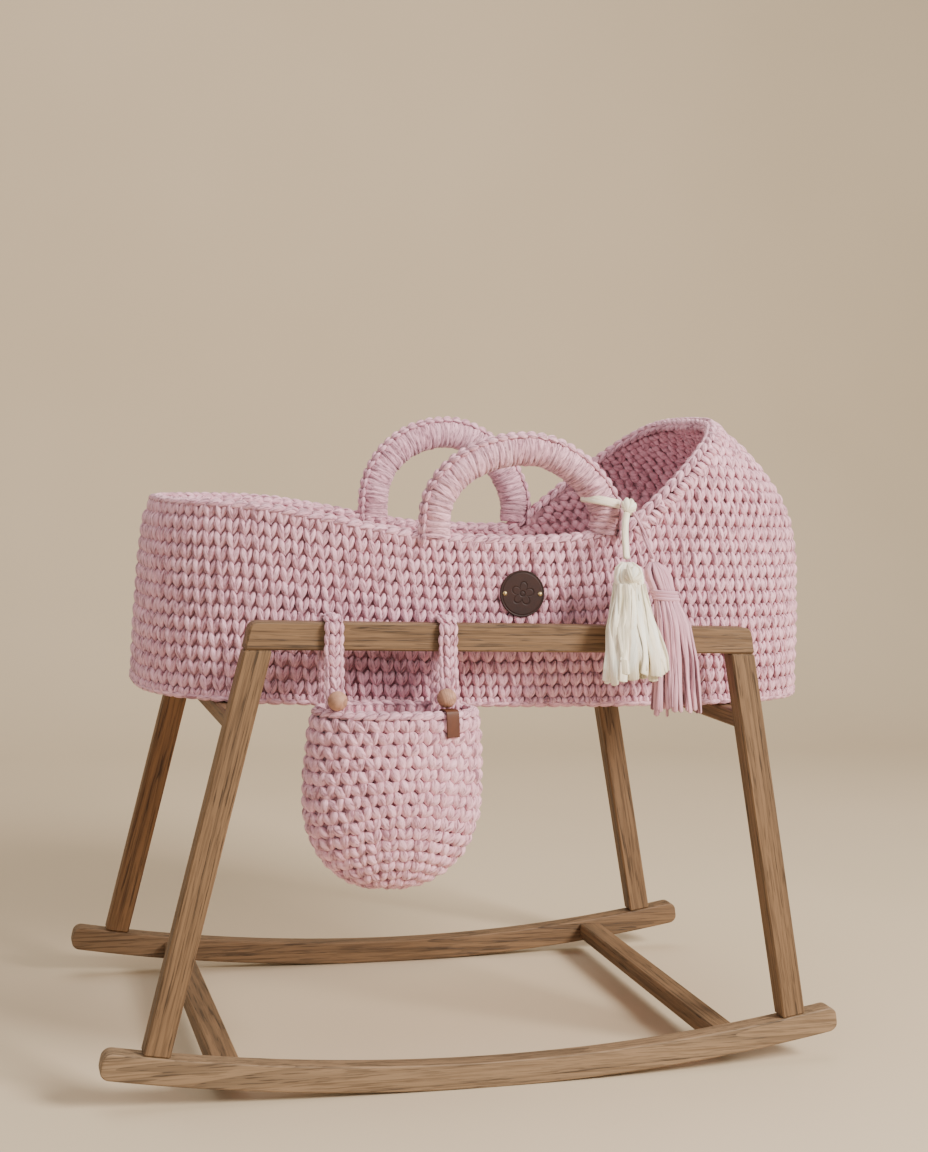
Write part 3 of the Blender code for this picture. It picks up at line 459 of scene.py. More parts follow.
def yarn_mesh(name, paths, outs, widths, thicks, sides=8):
    """Closed strands along paths [count, steps, 3]; outs point away from the work, and sizes are half sizes.

    The first and last point of each path close its ends, and the rings lie on the points between.
    """
    paths = np.asarray(paths, float)
    count, steps, _ = paths.shape
    rings = steps - 2
    size = rings * sides + 2
    widths = np.broadcast_to(np.asarray(widths, float), (count, steps))[:, 1:-1, None]
    thicks = np.broadcast_to(np.asarray(thicks, float), (count, steps))[:, 1:-1, None]
    ahead = unit(np.gradient(paths, axis=1))
    across = unit(np.cross(ahead, np.broadcast_to(np.asarray(outs, float), paths.shape)))
    outward = np.cross(across, ahead)
    turns = TAU * np.arange(sides) / sides
    ring = (
        paths[:, 1:-1, None]
        + across[:, 1:-1, None] * (widths * np.sin(turns))[..., None]
        - outward[:, 1:-1, None] * (thicks * np.cos(turns))[..., None]
    ).reshape(count, rings * sides, 3)
    places = np.concatenate([ring, paths[:, :1], paths[:, -1:]], axis=1)
    here = np.arange(sides)
    after = (here + 1) % sides
    last = (rings - 1) * sides
    low_fan = np.stack([np.full(sides, size - 2), after, here], axis=1)
    high_fan = np.stack([np.full(sides, size - 1), last + here, last + after], axis=1)
    shift = np.arange(count)[:, None, None] * size
    blocks = (grid_faces(rings, sides, True), low_fan, high_fan)
    faces = [(block + shift).reshape(-1, block.shape[1]) for block in blocks]
    length = lengths_along(paths)
    strand = np.zeros((count, size, 3))
    strand[:, :-2, 0] = np.tile(here / sides, rings)
    strand[:, :-2, 1] = np.repeat(length[:, 1:-1], sides, axis=1)
    strand[:, -2:, 0] = 0.5
    strand[:, -1, 1] = length[:, -1]
    strand[:, :, 2] = RANDOM.random(count)[:, None]
    # crest: 0 on the side of each strand that faces the work, 1 on the side away from it, 0.2 at its ends;
    # the yarn's material paints shade where it is low
    crest = np.full((count, size), 0.2)
    crest[:, :-2] = np.tile((1 - np.cos(turns)) / 2, rings)
    return add_mesh(name, places, faces, strand, crest)


def leaf_mesh(name, loops, half_width, half_thickness, bulge=0.0012, steps=8, sides=8, head=1.20):
    """Plump leaf-shaped loops of yarn, each from a thin start to a rounder head.

    loops lists sets of them: their starts, their ends, the way out from the work and, where they have one,
    their bow sideways.
    """
    share = np.linspace(0, 1, steps)
    share[1], share[-2] = 0.06, 0.94
    profile = np.clip(np.sin(math.pi * share ** head), 0, 1) ** 0.55
    arch = np.sin(math.pi * share)[None, :, None]
    starts, ends, outs, *bows = (np.concatenate(blocks)[:, None] for blocks in zip(*loops))
    paths = starts + (ends - starts) * share[None, :, None]
    paths = paths + outs * (bulge * arch)
    for bow in bows:
        paths = paths + bow * arch
    size = 1 + RANDOM.normal(0, 0.05, (len(starts), 1))
    return yarn_mesh(name, paths, outs, profile * half_width * size, profile * half_thickness * size, sides)


def bar_mesh(name, path, outs, half_widths, half_thicknesses, round_edge):
    """Solid bar of rounded rectangular section, with flat ends."""
    path = np.asarray(path, float)
    count = len(path)
    widths, thicks = (np.broadcast_to(size, (count,))[:, None] for size in (half_widths, half_thicknesses))
    ahead = unit(np.gradient(path, axis=0))
    across = unit(np.cross(ahead, outs))
    outward = np.cross(across, ahead)
    corners = []
    for index, (x, y) in enumerate(((1, 1), (-1, 1), (-1, -1), (1, -1))):
        for turn in index * QUARTER_TURN + np.linspace(0, QUARTER_TURN, 5):
            corners.append((x, y, math.cos(turn) - x, math.sin(turn) - y))
        corners.append((x, y * 0.96, 0, -y) if index % 2 else (x * 0.96, y, -x, 0))
    corner_x, corner_y, soft_x, soft_y = np.array(corners).T
    section_x = (widths * corner_x + round_edge * soft_x)[..., None]
    section_y = (thicks * corner_y + round_edge * soft_y)[..., None]
    rings = path[:, None] + across[:, None] * section_x + outward[:, None] * section_y
    strand = xyz(np.arange(len(corners)) / len(corners), lengths_along(path)[:, None], 0)
    # crest is lower on the two narrow sides: a yarn material paints shade there, and a leather one darkens
    # the edge
    crest = 1 - 0.6 * (np.abs(section_x[..., 0]) > widths * 0.86)
    return capped_rings(name, rings, strand, crest)


# ---------------------------------------------------------------- surfaces that stitches lie on
class Wall:
    """Round wall known on a grid of turns and even steps up its profile."""

    def __init__(self, profiles, steps=200):
        """profiles [turns, points, 3] run up the outside, one for each even turn."""
        arcs = lengths_along(profiles)
        self.length = arcs[:, -1]
        self.count, self.steps = len(profiles), steps
        even = np.linspace(0, self.length, steps, axis=1)
        self.grid = np.array([read_line(*column) for column in zip(profiles, arcs, even)])

    def on_column(self, column, arc):
        step = np.clip(arc / self.length[column], 0, 1) * (self.steps - 1)
        low = np.minimum(np.floor(step).astype(int), self.steps - 2)
        share = (step - low)[:, None]
        return self.grid[column, low] * (1 - share) + self.grid[column, low + 1] * share

    def place(self, turn, arc):
        column = np.mod(turn, TAU) / TAU * self.count
        whole = np.floor(column).astype(int)
        share = (column - whole)[:, None]
        left = self.on_column(whole % self.count, arc)
        right = self.on_column((whole + 1) % self.count, arc)
        return left * (1 - share) + right * share

    def frame(self, turn, arc):
        """Places with their directions along the row, up the wall and out of it."""
        turn, arc = np.broadcast_arrays(np.atleast_1d(turn).astype(float), np.asarray(arc, float))
        along = unit(self.place(turn + 0.012, arc) - self.place(turn - 0.012, arc))
        up = unit(self.place(turn, arc + 0.003) - self.place(turn, arc - 0.003))
        out = unit(np.cross(along, up))
        return self.place(turn, arc), along, np.cross(out, along), out

    def behind(self, turn, arc, depth):
        """Places at a depth inside the wall's outer surface."""
        here, _, _, out = self.frame(turn, arc)
        return here - out * depth

    def reach(self, height_at):
        """Arc at which each column first rises past height_at(places)."""
        gap = self.grid[:, :, 2] - height_at(self.grid)
        above = gap >= 0
        above[:, -1] = True
        first = np.maximum(above.argmax(axis=1), 1)
        column = np.arange(self.count)
        low, high = gap[column, first - 1], gap[column, first]
        share = np.clip(-low / np.where(np.abs(high - low) < 1e-9, 1e-9, high - low), 0, 1)
        return (first - 1 + share) / (self.steps - 1) * self.length

    def per_turn(self, values, turn):
        """A value known at each column, read at any turn."""
        column = np.mod(turn, TAU) / TAU * self.count
        return np.interp(column, np.arange(self.count + 1), np.append(values, values[0]))


def signed_power(value, power):
    return np.sign(value) * np.abs(value) ** power


def smooth_step(value):
    value = np.clip(value, 0, 1)
    return value * value * (3 - 2 * value)


def plan(turn, inset, z):
    """Basket's oval at heights z, as x and y about its middle."""
    lean = TAPER * np.maximum(0, (z - BASKET.z) / TAPER_HEIGHT) ** 2 + inset
    x = (HALF_LENGTH - lean) * signed_power(np.cos(turn), 2 / PLAN_POWER)
    y = (HALF_WIDTH - lean) * signed_power(np.sin(turn), 2 / PLAN_POWER)
    return x, y


def base_oval(turn, inset, z, share=1.0):
    """Points at height z on the oval of the base, drawn in by inset or shrunk to a share."""
    x, y = plan(turn, inset, BASKET.z)
    return xyz(BASKET.x + x * share, BASKET.y + y * share, z)


def body_rim(places):
    """Height of the rim where there is no hood."""
    x, y = places[..., 0] - BASKET.x, places[..., 1] - BASKET.y
    skew = RIM_SKEW * (y / HALF_WIDTH + 1) / 2
    height = RIM_LOW + RIM_FOOT_RISE * smooth_step((RIM_FOOT_START - x + skew) / RIM_FOOT_RUN)
    return height + RIM_HEAD_RISE * np.clip((x - skew - RIM_HEAD_START) / RIM_HEAD_RUN, 0, 1.6) ** 2


def rim_height(places):
    body = body_rim(places)
    mouth = HOOD_TIP_Z + HOOD_SLOPE * (places[..., 0] - BASKET.x - HOOD_TIP_X)
    return (body + mouth) / 2 + np.sqrt(((body - mouth) / 2) ** 2 + RIM_BLEND ** 2)


def basket_wall():
    """Outer surface from the base's edge to the crown that the hood would have without its mouth."""
    turns = TAU * np.arange(720) / 720
    rows = []
    for lift in np.linspace(0, QUARTER_TURN, 5):
        z = BASKET.z + BASE_ROUND * (1 - math.cos(lift))
        rows.append(xyz(*plan(turns, BASE_ROUND * (1 - math.sin(lift)), z), z))
    for z in np.linspace(BASKET.z + BASE_ROUND, DOME_START, 14)[1:]:
        rows.append(xyz(*plan(turns, 0, z), z))
    power = DOME_POWER + DOME_SHOULDER * np.sin(turns) ** 2
    for climb in np.linspace(0, QUARTER_TURN, 80)[1:-1]:
        shrink = math.cos(climb) ** (2 / power)
        z = DOME_START + DOME_HEIGHT * math.sin(climb) ** (2 / power)
        x, y = plan(turns, 0, np.minimum(z, DOME_START + 0.02))
        rows.append(xyz(x * shrink, y * shrink, z))
    return Wall(np.stack(rows, axis=1) + np.array([BASKET.x, BASKET.y, 0]))


# ---------------------------------------------------------------- crochet
def v_stitches(
    here, along, up, out, width, height, name, depth=YARN_INSET, room=None, drop=0.74, top=0.54, **shape
):
    """Heart of two leaves for each stitch, its point low between the tops of the row below.

    room is how far the wall goes on below each stitch; drop and top are how far it reaches, in row heights.
    """
    loops, sizes = [], []
    count = len(here)
    height = np.broadcast_to(height, (count,))[:, None]
    reach = drop * height if room is None else np.minimum(drop * height, room[:, None])
    for side, size, rise in ((-1, 0.300, 0.0006), (1, 0.272, 0.0)):
        sway = RANDOM.normal(0, 0.0004, (2, count, 1))
        lift = RANDOM.normal(0, 0.0003, (count, 1)) - rise
        start = here + along * (-side * 0.07 * width + sway[0]) - up * reach
        end = here + along * (side * 0.36 * width + sway[1]) + up * top * height
        start, end = start - out * (depth + 0.0014 + lift), end - out * (depth + lift)
        loops.append((start, end, unit(out + along * side * 0.22), along * side * 0.02 * width))
        sizes.append(np.full((count, 1), size * width))
    return leaf_mesh(name, loops, np.concatenate(sizes), width * YARN_HALF_THICKNESS / STITCH_WIDTH, **shape)


def body_stitches(wall, pitch):
    """Turns, arcs and pitches of the straight rounds' stitches, each round a little beside the next."""
    turns = np.linspace(0, TAU, 2881)
    columns = even_turns(wall.place(turns, np.full(2881, 0.09)), turns, STITCH_WIDTH)
    count = len(columns)
    places = np.arange(count)[:, None] + ROW_SHIFT * (BODY_ROWS - np.arange(BODY_ROWS))[None, :]
    turns = np.interp(places, np.arange(2 * count), np.concatenate([columns, columns + TAU])).ravel()
    step = wall.per_turn(pitch, turns)
    return turns, (np.tile(np.arange(BODY_ROWS), count) + ROW_MIDDLE) * step, step


def hood_rows(wall, pitch, rim):
    """Turns, arcs and pitches of the rounds above the straight rows, as far as the hood's mouth."""
    found = []
    dense = np.linspace(-math.pi, math.pi, 1441)
    step = wall.per_turn(pitch, dense)
    for row in range(BODY_ROWS, 40):
        arcs = (row + ROW_MIDDLE) * step
        inside = arcs < wall.per_turn(rim, dense) - 0.45 * step
        if not inside.any():
            break
        reached = dense[inside]
        lengths = lengths_along(wall.place(reached, arcs[inside]))
        count = int(lengths[-1] / 2 / STITCH_WIDTH)
        goals = np.interp(0, reached, lengths) + np.arange(-count, count + 1) * STITCH_WIDTH
        goals = goals[(goals >= 0) & (goals <= lengths[-1])]
        turns = np.interp(goals, lengths, reached)
        found.append((turns, (row + ROW_MIDDLE) * wall.per_turn(pitch, turns), wall.per_turn(pitch, turns)))
    return [np.concatenate(column) for column in zip(*found)]


def rim_line(wall, rim, gap, first=0.0):
    """Turns at even distances all round the rim."""
    dense = np.linspace(-math.pi, math.pi, 2881)
    return even_turns(wall.place(dense, wall.per_turn(rim, dense)), dense, gap, first)


def rim_frame(wall, rim, turns):
    """Places on the rim with their directions along it, up out of the edge and out of the wall."""
    here, _, _, out = wall.frame(turns, wall.per_turn(rim, turns))
    before, after = (wall.place(there, wall.per_turn(rim, there)) for there in (turns - 0.006, turns + 0.006))
    along = unit(after - before)
    out = unit(out - along * (out * along).sum(axis=1, keepdims=True))
    return here, along, np.cross(out, along), out


def rim_braid(wall, rim, name, gap, lines):
    """Chain along the rim: slanting loops on its outer edge, its top and its inner edge."""
    here, along, up, out = rim_frame(wall, rim, rim_line(wall, rim, gap)[:-1])
    loops = []
    for inset, rise, slant, tilt in lines:
        middle = here - out * inset + up * rise
        face = unit(out * tilt + up)
        side = np.cross(face, along)
        start = middle - along * gap * 0.72 - side * slant - face * 0.0012
        loops.append((start, middle + along * gap * 0.62 + side * slant, face))
    return leaf_mesh(name, loops, 0.0039, 0.0036)


def mouth_edging(wall, rim):
    """Loops square to the hood's mouth, where the rounds end in it."""
    turns = rim_line(wall, rim, MOUTH_GAP, 0.5)
    places = wall.place(turns, wall.per_turn(rim, turns))
    here, along, up, out = rim_frame(wall, rim, turns[places[:, 2] > body_rim(places) + 0.004])
    low = here - up * 0.0195 - out * 0.0030 + along * 0.0035
    high = here - up * 0.0030 - out * 0.0012 - along * 0.0020
    return leaf_mesh("hood_mouth_edging", [(low, high, out)], 0.0044, 0.0034, bulge=0.0022)


def base_edge(wall):
    """Ridge of long loops round the base's edge."""
    dense = np.linspace(0, TAU, 2881)
    turns = even_turns(wall.place(dense, np.full(2881, 0.006)), dense, BASE_GAP)
    here, along, up, out = wall.frame(turns, 0.0045)
    face = unit(out - up * 0.5)
    side = np.cross(face, along)
    low = here - along * BASE_GAP * 0.86 - side * 0.0009 - face * 0.0034
    high = here + along * BASE_GAP * 0.78 + side * 0.0009 - face * 0.0028
    return leaf_mesh("basket_base_edge", [(low, high, face)], 0.0044, 0.0034, head=1.05)


def underside():
    """Flat rounds of stitches below the base."""
    dense = np.linspace(0, TAU, 1441)
    spots, aheads = [], []
    for index in range(12):
        ring = base_oval(dense, 0.0165 + BASE_GAP * index, BASKET.z + 0.0036)
        turns = even_turns(ring, dense, STITCH_WIDTH)[:-1]
        spots.append(read_line(ring, dense, turns))
        aheads.append(unit(spots[-1] - read_line(ring, dense, turns - 0.01) + 1e-9))
    here, along = np.concatenate(spots), np.concatenate(aheads)
    down = np.broadcast_to(np.array([0.0, 0.0, -1.0]), here.shape)
    up = np.cross(down, along)
    sizes = (STITCH_WIDTH, BASE_GAP)
    return v_stitches(here, along, up, down, *sizes, "basket_underside", 0.0005, steps=6, sides=6)


def backing(name, rings, sides_per_strand, crest):
    """Plain body of a crocheted wall behind its loops."""
    rings = np.array(rings)
    turn = np.arange(rings.shape[1]) / sides_per_strand
    # crest sets how much painted shade the yarn's material lays on this body: the lower, the darker
    return capped_rings(name, rings, xyz(turn, rings[..., 2], 0.3), np.full(rings.shape[:2], crest))


def basket_backing(wall, rim):
    """The wall's body from the base over the rim and down the inside."""
    turns = TAU * np.arange(180) / 180
    edge = wall.per_turn(rim, turns) - 0.004
    foot = np.array([0, 0, 0.0035])
    rings = [base_oval(turns, 0.0, BASKET.z + foot[2], share) for share in (0.05, 0.4, 0.8)]
    for share in np.linspace(0.02, 1, 40):
        rings.append(wall.behind(turns, edge * share, BACKING_DEPTH) + foot * (share < 0.05))
    rings += [wall.behind(turns, edge * share, BACKING_REACH) for share in np.linspace(1, 0.07, 38)]
    rings += [base_oval(turns, WALL, BASKET.z + WALL - 0.001, share) for share in (0.8, 0.4, 0.05)]
    return backing("basket_backing", rings, 6.0, 0.5)


def lining_bumps(here, along, up, out, step, name):
    """Reverse side of the rounds: short plump bumps that lie all ways along the row."""
    loops = []
    for shift, rise in ((-0.24, 0.20), (0.24, -0.22)):
        tilt = RANDOM.normal(0.35, 0.38, (len(here), 1))
        lie = along * np.cos(tilt) + up * np.sin(tilt)
        middle = here - out * (WALL - 0.0016 + RANDOM.normal(0, 0.0006, (len(here), 1)))
        middle = middle + along * shift * STITCH_WIDTH + up * (rise * step)[:, None]
        loops.append((middle - lie * 0.0068, middle + lie * 0.0068, -out))
    return leaf_mesh(name, loops, 0.0052, 0.0030, steps=7, sides=7, head=1.0)


def in_quarter(rows, side, end):
    """The stitches of rows on one side and at one end of the basket, so that no piece grows too big."""
    turns = rows[0]
    front = np.sin(turns) < 0
    kept = (front if side == "front" else ~front) & (np.cos(turns) * (-1 if end == "foot" else 1) >= 0)
    return [column[kept] for column in rows]


def build_basket():
    wall = basket_wall()
    rim = wall.reach(rim_height)
    pitch = wall.reach(body_rim) / BODY_ROWS
    finish_piece(basket_backing(wall, rim), PINK_PAINTED_SHADE, "basket", "basket_shell")
    quarters = [(side, end) for side in ("front", "rear") for end in ("foot", "head")]
    body, hood = body_stitches(wall, pitch), hood_rows(wall, pitch, rim)
    for side, end in quarters:
        turns, arcs, step = in_quarter(body, side, end)
        name = f"basket_rounds_{side}_{end}"
        piece = v_stitches(*wall.frame(turns, arcs), STITCH_WIDTH, step, name, room=arcs - 0.003)
        finish_piece(piece, PINK, "basket")
    turns, arcs, step = hood
    finish_piece(v_stitches(*wall.frame(turns, arcs), STITCH_WIDTH, step, "hood_rounds"), PINK, "basket")
    above_mattress = body[1] > MATTRESS_TOP
    body = [column[above_mattress] for column in body]
    for side, end in quarters:
        low, high = in_quarter(body, side, end), in_quarter(hood, side, end)
        turns, arcs, step = (np.concatenate(pair) for pair in zip(low, high))
        piece = lining_bumps(*wall.frame(turns, arcs), step, f"basket_lining_{side}_{end}")
        finish_piece(piece, PINK_INSIDE_PAINTED_LIGHT, "basket")
    finish_piece(rim_braid(wall, rim, "basket_rim_braid", RIM_GAP, BASKET_LINES), PINK, "basket")
    for piece in (mouth_edging(wall, rim), base_edge(wall), underside()):
        finish_piece(piece, PINK, "basket")


# ---------------------------------------------------------------- handles
HANDLES = {
    "front": {
        "left": (-0.0705, -0.167, 0.5921),
        "right": (0.1185, -0.167, 0.6005),
        "crown": 0.6630,
        "flank": 0.0110,
        "radius": 0.0165,
    },
    "rear": {
        "left": (-0.0545, 0.167, 0.5995),
        "right": (0.1290, 0.167, 0.5998),
        "crown": 0.6830,
        "flank": 0.0080,
        "radius": 0.0180,
    },
}
HANDLE_SINK = 0.024
HANDLE_LEAN = 0.45            # how far a handle's seam faces the front, in radians
WRAP = 0.0068                 # distance between the turns of the strip round a handle


def arch_places(handle, turns):
    left, right = (on_stand(*handle[foot]) for foot in ("left", "right"))
    middle = (left + right) / 2
    places = middle + (right - left) / 2 * np.cos(turns)[:, None]
    places[:, 0] -= handle["flank"] * np.maximum(0, np.sin(2 * turns))
    places[:, 2] += (handle["crown"] - middle[2]) * np.sin(turns)
    return places


def handle_line(handle, count):
    """Even points from below the foot-end leg over the crown to below the hood-end leg."""
    arch = arch_places(handle, np.linspace(math.pi, 0, 400))
    sink = np.array([0, 0, -HANDLE_SINK])
    return even_points(np.concatenate([[arch[0] + sink], arch, [arch[-1] + sink]]), count)


def wrapped_tube(name, line, radius):
    """Tube wound crosswise with flat strips of yarn, flattened where it enters the rim."""
    beside = np.array([0.0, 1.0, 0.0])
    outward = unit(np.cross(unit(np.gradient(line, axis=0)), beside))
    turns = TAU * np.arange(48) / 48
    lengths = np.linspace(0, line_length(line), len(line))[:, None]
    uneven = lengths + 0.0012 * np.sin(lengths * 170) + 0.0008 * np.sin(lengths * 405 + 1)
    wander = 0.10 * np.sin(2 * turns + lengths * 260) + 0.05 * np.sin(3 * turns - lengths * 510)
    winding = uneven / WRAP - turns / TAU + wander
    strip = np.floor(winding).astype(int)
    swell = np.sqrt(np.clip(1 - np.abs(2 * (winding - strip) - 1) ** 3.5, 0, 1))
    count = strip.max() - strip.min() + 1
    spare = RANDOM.normal(0, 0.00035, count)[strip - strip.min()]
    shade = RANDOM.random(count)[strip - strip.min()]
    size = radius - 0.0020 + 0.0022 * swell + spare
    flat = 0.55 + 0.45 * smooth_step(np.minimum(lengths, lengths[-1] - lengths) / (HANDLE_SINK + 0.008))
    places = line[:, None] + outward[:, None] * (size * np.cos(turns))[..., None]
    places = places + beside * (size * flat * np.sin(turns))[..., None]
    strand = xyz(winding * WRAP / 0.013, turns * radius, shade)
    # crest falls at the edges of each turn of the strip: the yarn's material paints shade in the grooves
    # between turns
    return capped_rings(name, places, strand, 0.15 + 0.85 * swell)


def chain_seam(name, line, radius, gap=0.0094):
    """Chain of loops along a handle's outer edge, leaned towards the front."""
    spots = even_points(line, int(line_length(line) / gap))
    ahead = unit(np.gradient(spots, axis=0))
    beside = np.array([0.0, 1.0, 0.0])
    outward = unit(np.cross(ahead, beside)) * math.cos(HANDLE_LEAN) - beside * math.sin(HANDLE_LEAN)
    across = np.cross(outward, ahead)
    here = spots + outward * (radius + 0.0010)
    loops = []
    for side in (-1, 1):
        start = here - ahead * gap * 0.85 + across * side * 0.0008 - outward * 0.0008
        end = here + ahead * gap * 0.55 + across * side * 0.0042
        loops.append((start, end, unit(outward + across * side * 0.4)))
    return leaf_mesh(name, loops, 0.0033, 0.0027, bulge=0.0008)


def build_handles():
    for end, handle in HANDLES.items():
        line = handle_line(handle, 300)
        tube = wrapped_tube(f"{end}_handle_wrap", line, handle["radius"])
        seam = chain_seam(f"{end}_handle_chain", line, handle["radius"])
        finish_piece(tube, PINK, None, f"{end}_handle_cover")
        finish_piece(seam, PINK, None)
        for piece in (tube, seam):
            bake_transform(piece)


# ---------------------------------------------------------------- tie, cords and tassels
KNOT = on_stand(0.1345, -0.1880, 0.6075)
TIE_ANGLE = 0.18              # where the tie sits on the front handle's arch, in radians
TOWARDS_VIEWER = np.array([0.0, -1.0, 0.0])
CREAM_CORD = (
    (0.1325, -0.1935, 0.6020),
    (0.1270, -0.2030, 0.5880),
    (0.1240, -0.2140, 0.5680),
    (0.1235, -0.2212, 0.5535),
)
PINK_CORD = (
    (0.1395, -0.1945, 0.6040),
    (0.1440, -0.2010, 0.5925),
    (0.1500, -0.2105, 0.5715),
    (0.1540, -0.2175, 0.5545),
)
# height, x and y of the middle, half width and half depth, about the stand
CREAM_TASSEL = (
    (0.5500, 0.1235, -0.2225, 0.0060, 0.0050),
    (0.5440, 0.1235, -0.2245, 0.0145, 0.0120),
    (0.5340, 0.1238, -0.2280, 0.0175, 0.0140),
    (0.5230, 0.1238, -0.2320, 0.0145, 0.0120),
    (0.5120, 0.1235, -0.2360, 0.0185, 0.0130),
    (0.4840, 0.1225, -0.2450, 0.0265, 0.0140),
    (0.4550, 0.1225, -0.2590, 0.0315, 0.0150),
    (0.4300, 0.1232, -0.2650, 0.0345, 0.0160),
)
PINK_TASSEL = (
    (0.5510, 0.1545, -0.2195, 0.0050, 0.0040),
    (0.5460, 0.1565, -0.2210, 0.0130, 0.0090),
    (0.5360, 0.1595, -0.2240, 0.0155, 0.0110),
    (0.5250, 0.1620, -0.2280, 0.0135, 0.0100),
    (0.5130, 0.1655, -0.2325, 0.0135, 0.0100),
    (0.4900, 0.1705, -0.2400, 0.0190, 0.0110),
    (0.4500, 0.1760, -0.2430, 0.0235, 0.0110),
    (0.3970, 0.1790, -0.2440, 0.0275, 0.0120),
)
# strips: part of the tassel, top, bottom, count, half width, half thickness, share of the outline that they
# fill, unevenness of their ends, points along each, wander round the tassel and twist
CREAM_STRIPS = (
    ("head", 0.5505, 0.5210, 10, 0.0048, 0.0026, 0.80, 0.0004, 9, 0.25, 0.3),
    ("skirt", 0.5300, 0.4360, 26, 0.0056, 0.0017, 0.96, 0.0045, 14, 0.14, 0.6),
    ("under", 0.5220, 0.4380, 16, 0.0050, 0.0016, 0.55, 0.0060, 12, 0.20, 0.8),
)
PINK_STRIPS = (
    ("head", 0.5515, 0.5190, 16, 0.0026, 0.0018, 0.86, 0.0003, 9, 0.05, 0.2),
    ("skirt", 0.5150, 0.3975, 30, 0.0030, 0.0015, 0.94, 0.0022, 14, 0.07, 0.6),
    ("under", 0.5150, 0.4000, 14, 0.0030, 0.0015, 0.50, 0.0040, 12, 0.12, 0.9),
)


def tassel_at(rings, height):
    """Middle, half width and half depth of a tassel at heights."""
    table = np.array(rings)[::-1]
    x, y, wide, deep = (np.interp(height, table[:, 0], table[:, column]) for column in (1, 2, 3, 4))
    return xyz(x + STAND.x, y + STAND.y, height), wide, deep


def uneven_wave(phase, low, high, count):
    """Wave along each of count strips, with a length and a start of its own."""
    return np.sin(phase * RANDOM.uniform(low, high, (count, 1)) + RANDOM.uniform(0, TAU, (count, 1)))


def strips(name, rings, top, bottom, count, half_width, half_thickness, spread, ragged, steps, wander, twist):
    """Strips of yarn down a tassel's outline, from one height to another, with uneven ends."""
    turns = (TAU * (np.arange(count) + 0.5) / count + RANDOM.normal(0, 0.08, count))[:, None]
    share = np.linspace(0, 1, steps)[None]
    share[0, 1], share[0, -2] = 0.02, 0.985
    ends = bottom + ragged * RANDOM.normal(0, 1, (count, 1))
    centre, wide, deep = tassel_at(rings, top + (ends - top) * share)
    sway = turns + wander * uneven_wave(math.pi * share, 0.8, 2.2, count) * share
    radial = unit(xyz(np.cos(sway) * deep, np.sin(sway) * wide, 0))
    beside = xyz(-radial[..., 1], radial[..., 0], 0)
    reach = spread * (1 + RANDOM.normal(0, 0.05, (count, 1)) * share)
    paths = centre + xyz(wide * reach * np.cos(sway), deep * reach * np.sin(sway), 0)
    angle = (twist * uneven_wave(TAU * share, 0.3, 1.1, count))[..., None]
    outs = radial * np.cos(angle) + beside * np.sin(angle)
    taper = np.minimum(1, 0.55 + 3 * share) * (1 + RANDOM.normal(0, 0.10, (count, 1)))
    widths = half_width * taper * (1 - 0.25 * (share > 0.999))
    return yarn_mesh(name, paths, outs, widths, half_thickness * taper)


def neck_band(name, rings, height, turns_round, half_width):
    """Yarn wound round a tassel's neck."""
    angle = np.linspace(0, TAU * turns_round, 28 * turns_round)
    centre, wide, deep = tassel_at(rings, height + half_width * 1.7 * (turns_round / 2 - angle / TAU))
    path = centre + xyz((wide + 0.0004) * np.cos(angle), (deep + 0.0004) * np.sin(angle), 0)
    return yarn_mesh(name, path[None], unit(path - centre)[None], half_width, 0.0013)


def tassel_core(name, rings, top, bottom):
    """Plain middle that fills a tassel behind its strips."""
    centre, wide, deep = tassel_at(rings, np.linspace(top, bottom, 14))
    return yarn_mesh(name, centre[None], TOWARDS_VIEWER, (wide * 0.62)[None], (deep * 0.62)[None], 16)


def knot_lobes(name, centre, size, count, half_width):
    """Short loops that cross in a knot."""
    angles = TAU * np.arange(count) / count
    outs = unit(xyz(np.cos(angles) * 0.5, -1.0, np.sin(angles) * 0.5))
    tilt = angles * 0.5 + 0.4
    lie = xyz(np.cos(tilt), 0.0, np.sin(tilt))
    lie = unit(lie - outs * (lie * outs).sum(axis=1, keepdims=True))
    middle = centre + outs * size * 0.35
    loops = [(middle - lie * size, middle + lie * size, outs)]
    return leaf_mesh(name, loops, half_width, half_width * 0.8, size * 0.45, steps=12, head=1.0)


def wound_tie():
    """Flat cream strip once round the front handle's hood-side leg."""
    line = arch_places(HANDLES["front"], np.array([TIE_ANGLE, TIE_ANGLE + 0.02]))
    ahead = unit(line[1] - line[0])
    turns = np.linspace(-0.25, TAU + 0.25, 48)
    reach = HANDLES["front"]["radius"] + 0.0012 + 0.0006 * turns / TAU
    radial = xyz(np.cos(turns) / ahead[2], np.sin(turns), -0.18 * np.cos(turns))
    path = line[0] + radial * reach[:, None]
    return yarn_mesh("cream_tie_band", path[None], unit(radial)[None], 0.0048, 0.0017)


def cord_line(places):
    return even_points(rounded([on_stand(*place) for place in places]), 34)


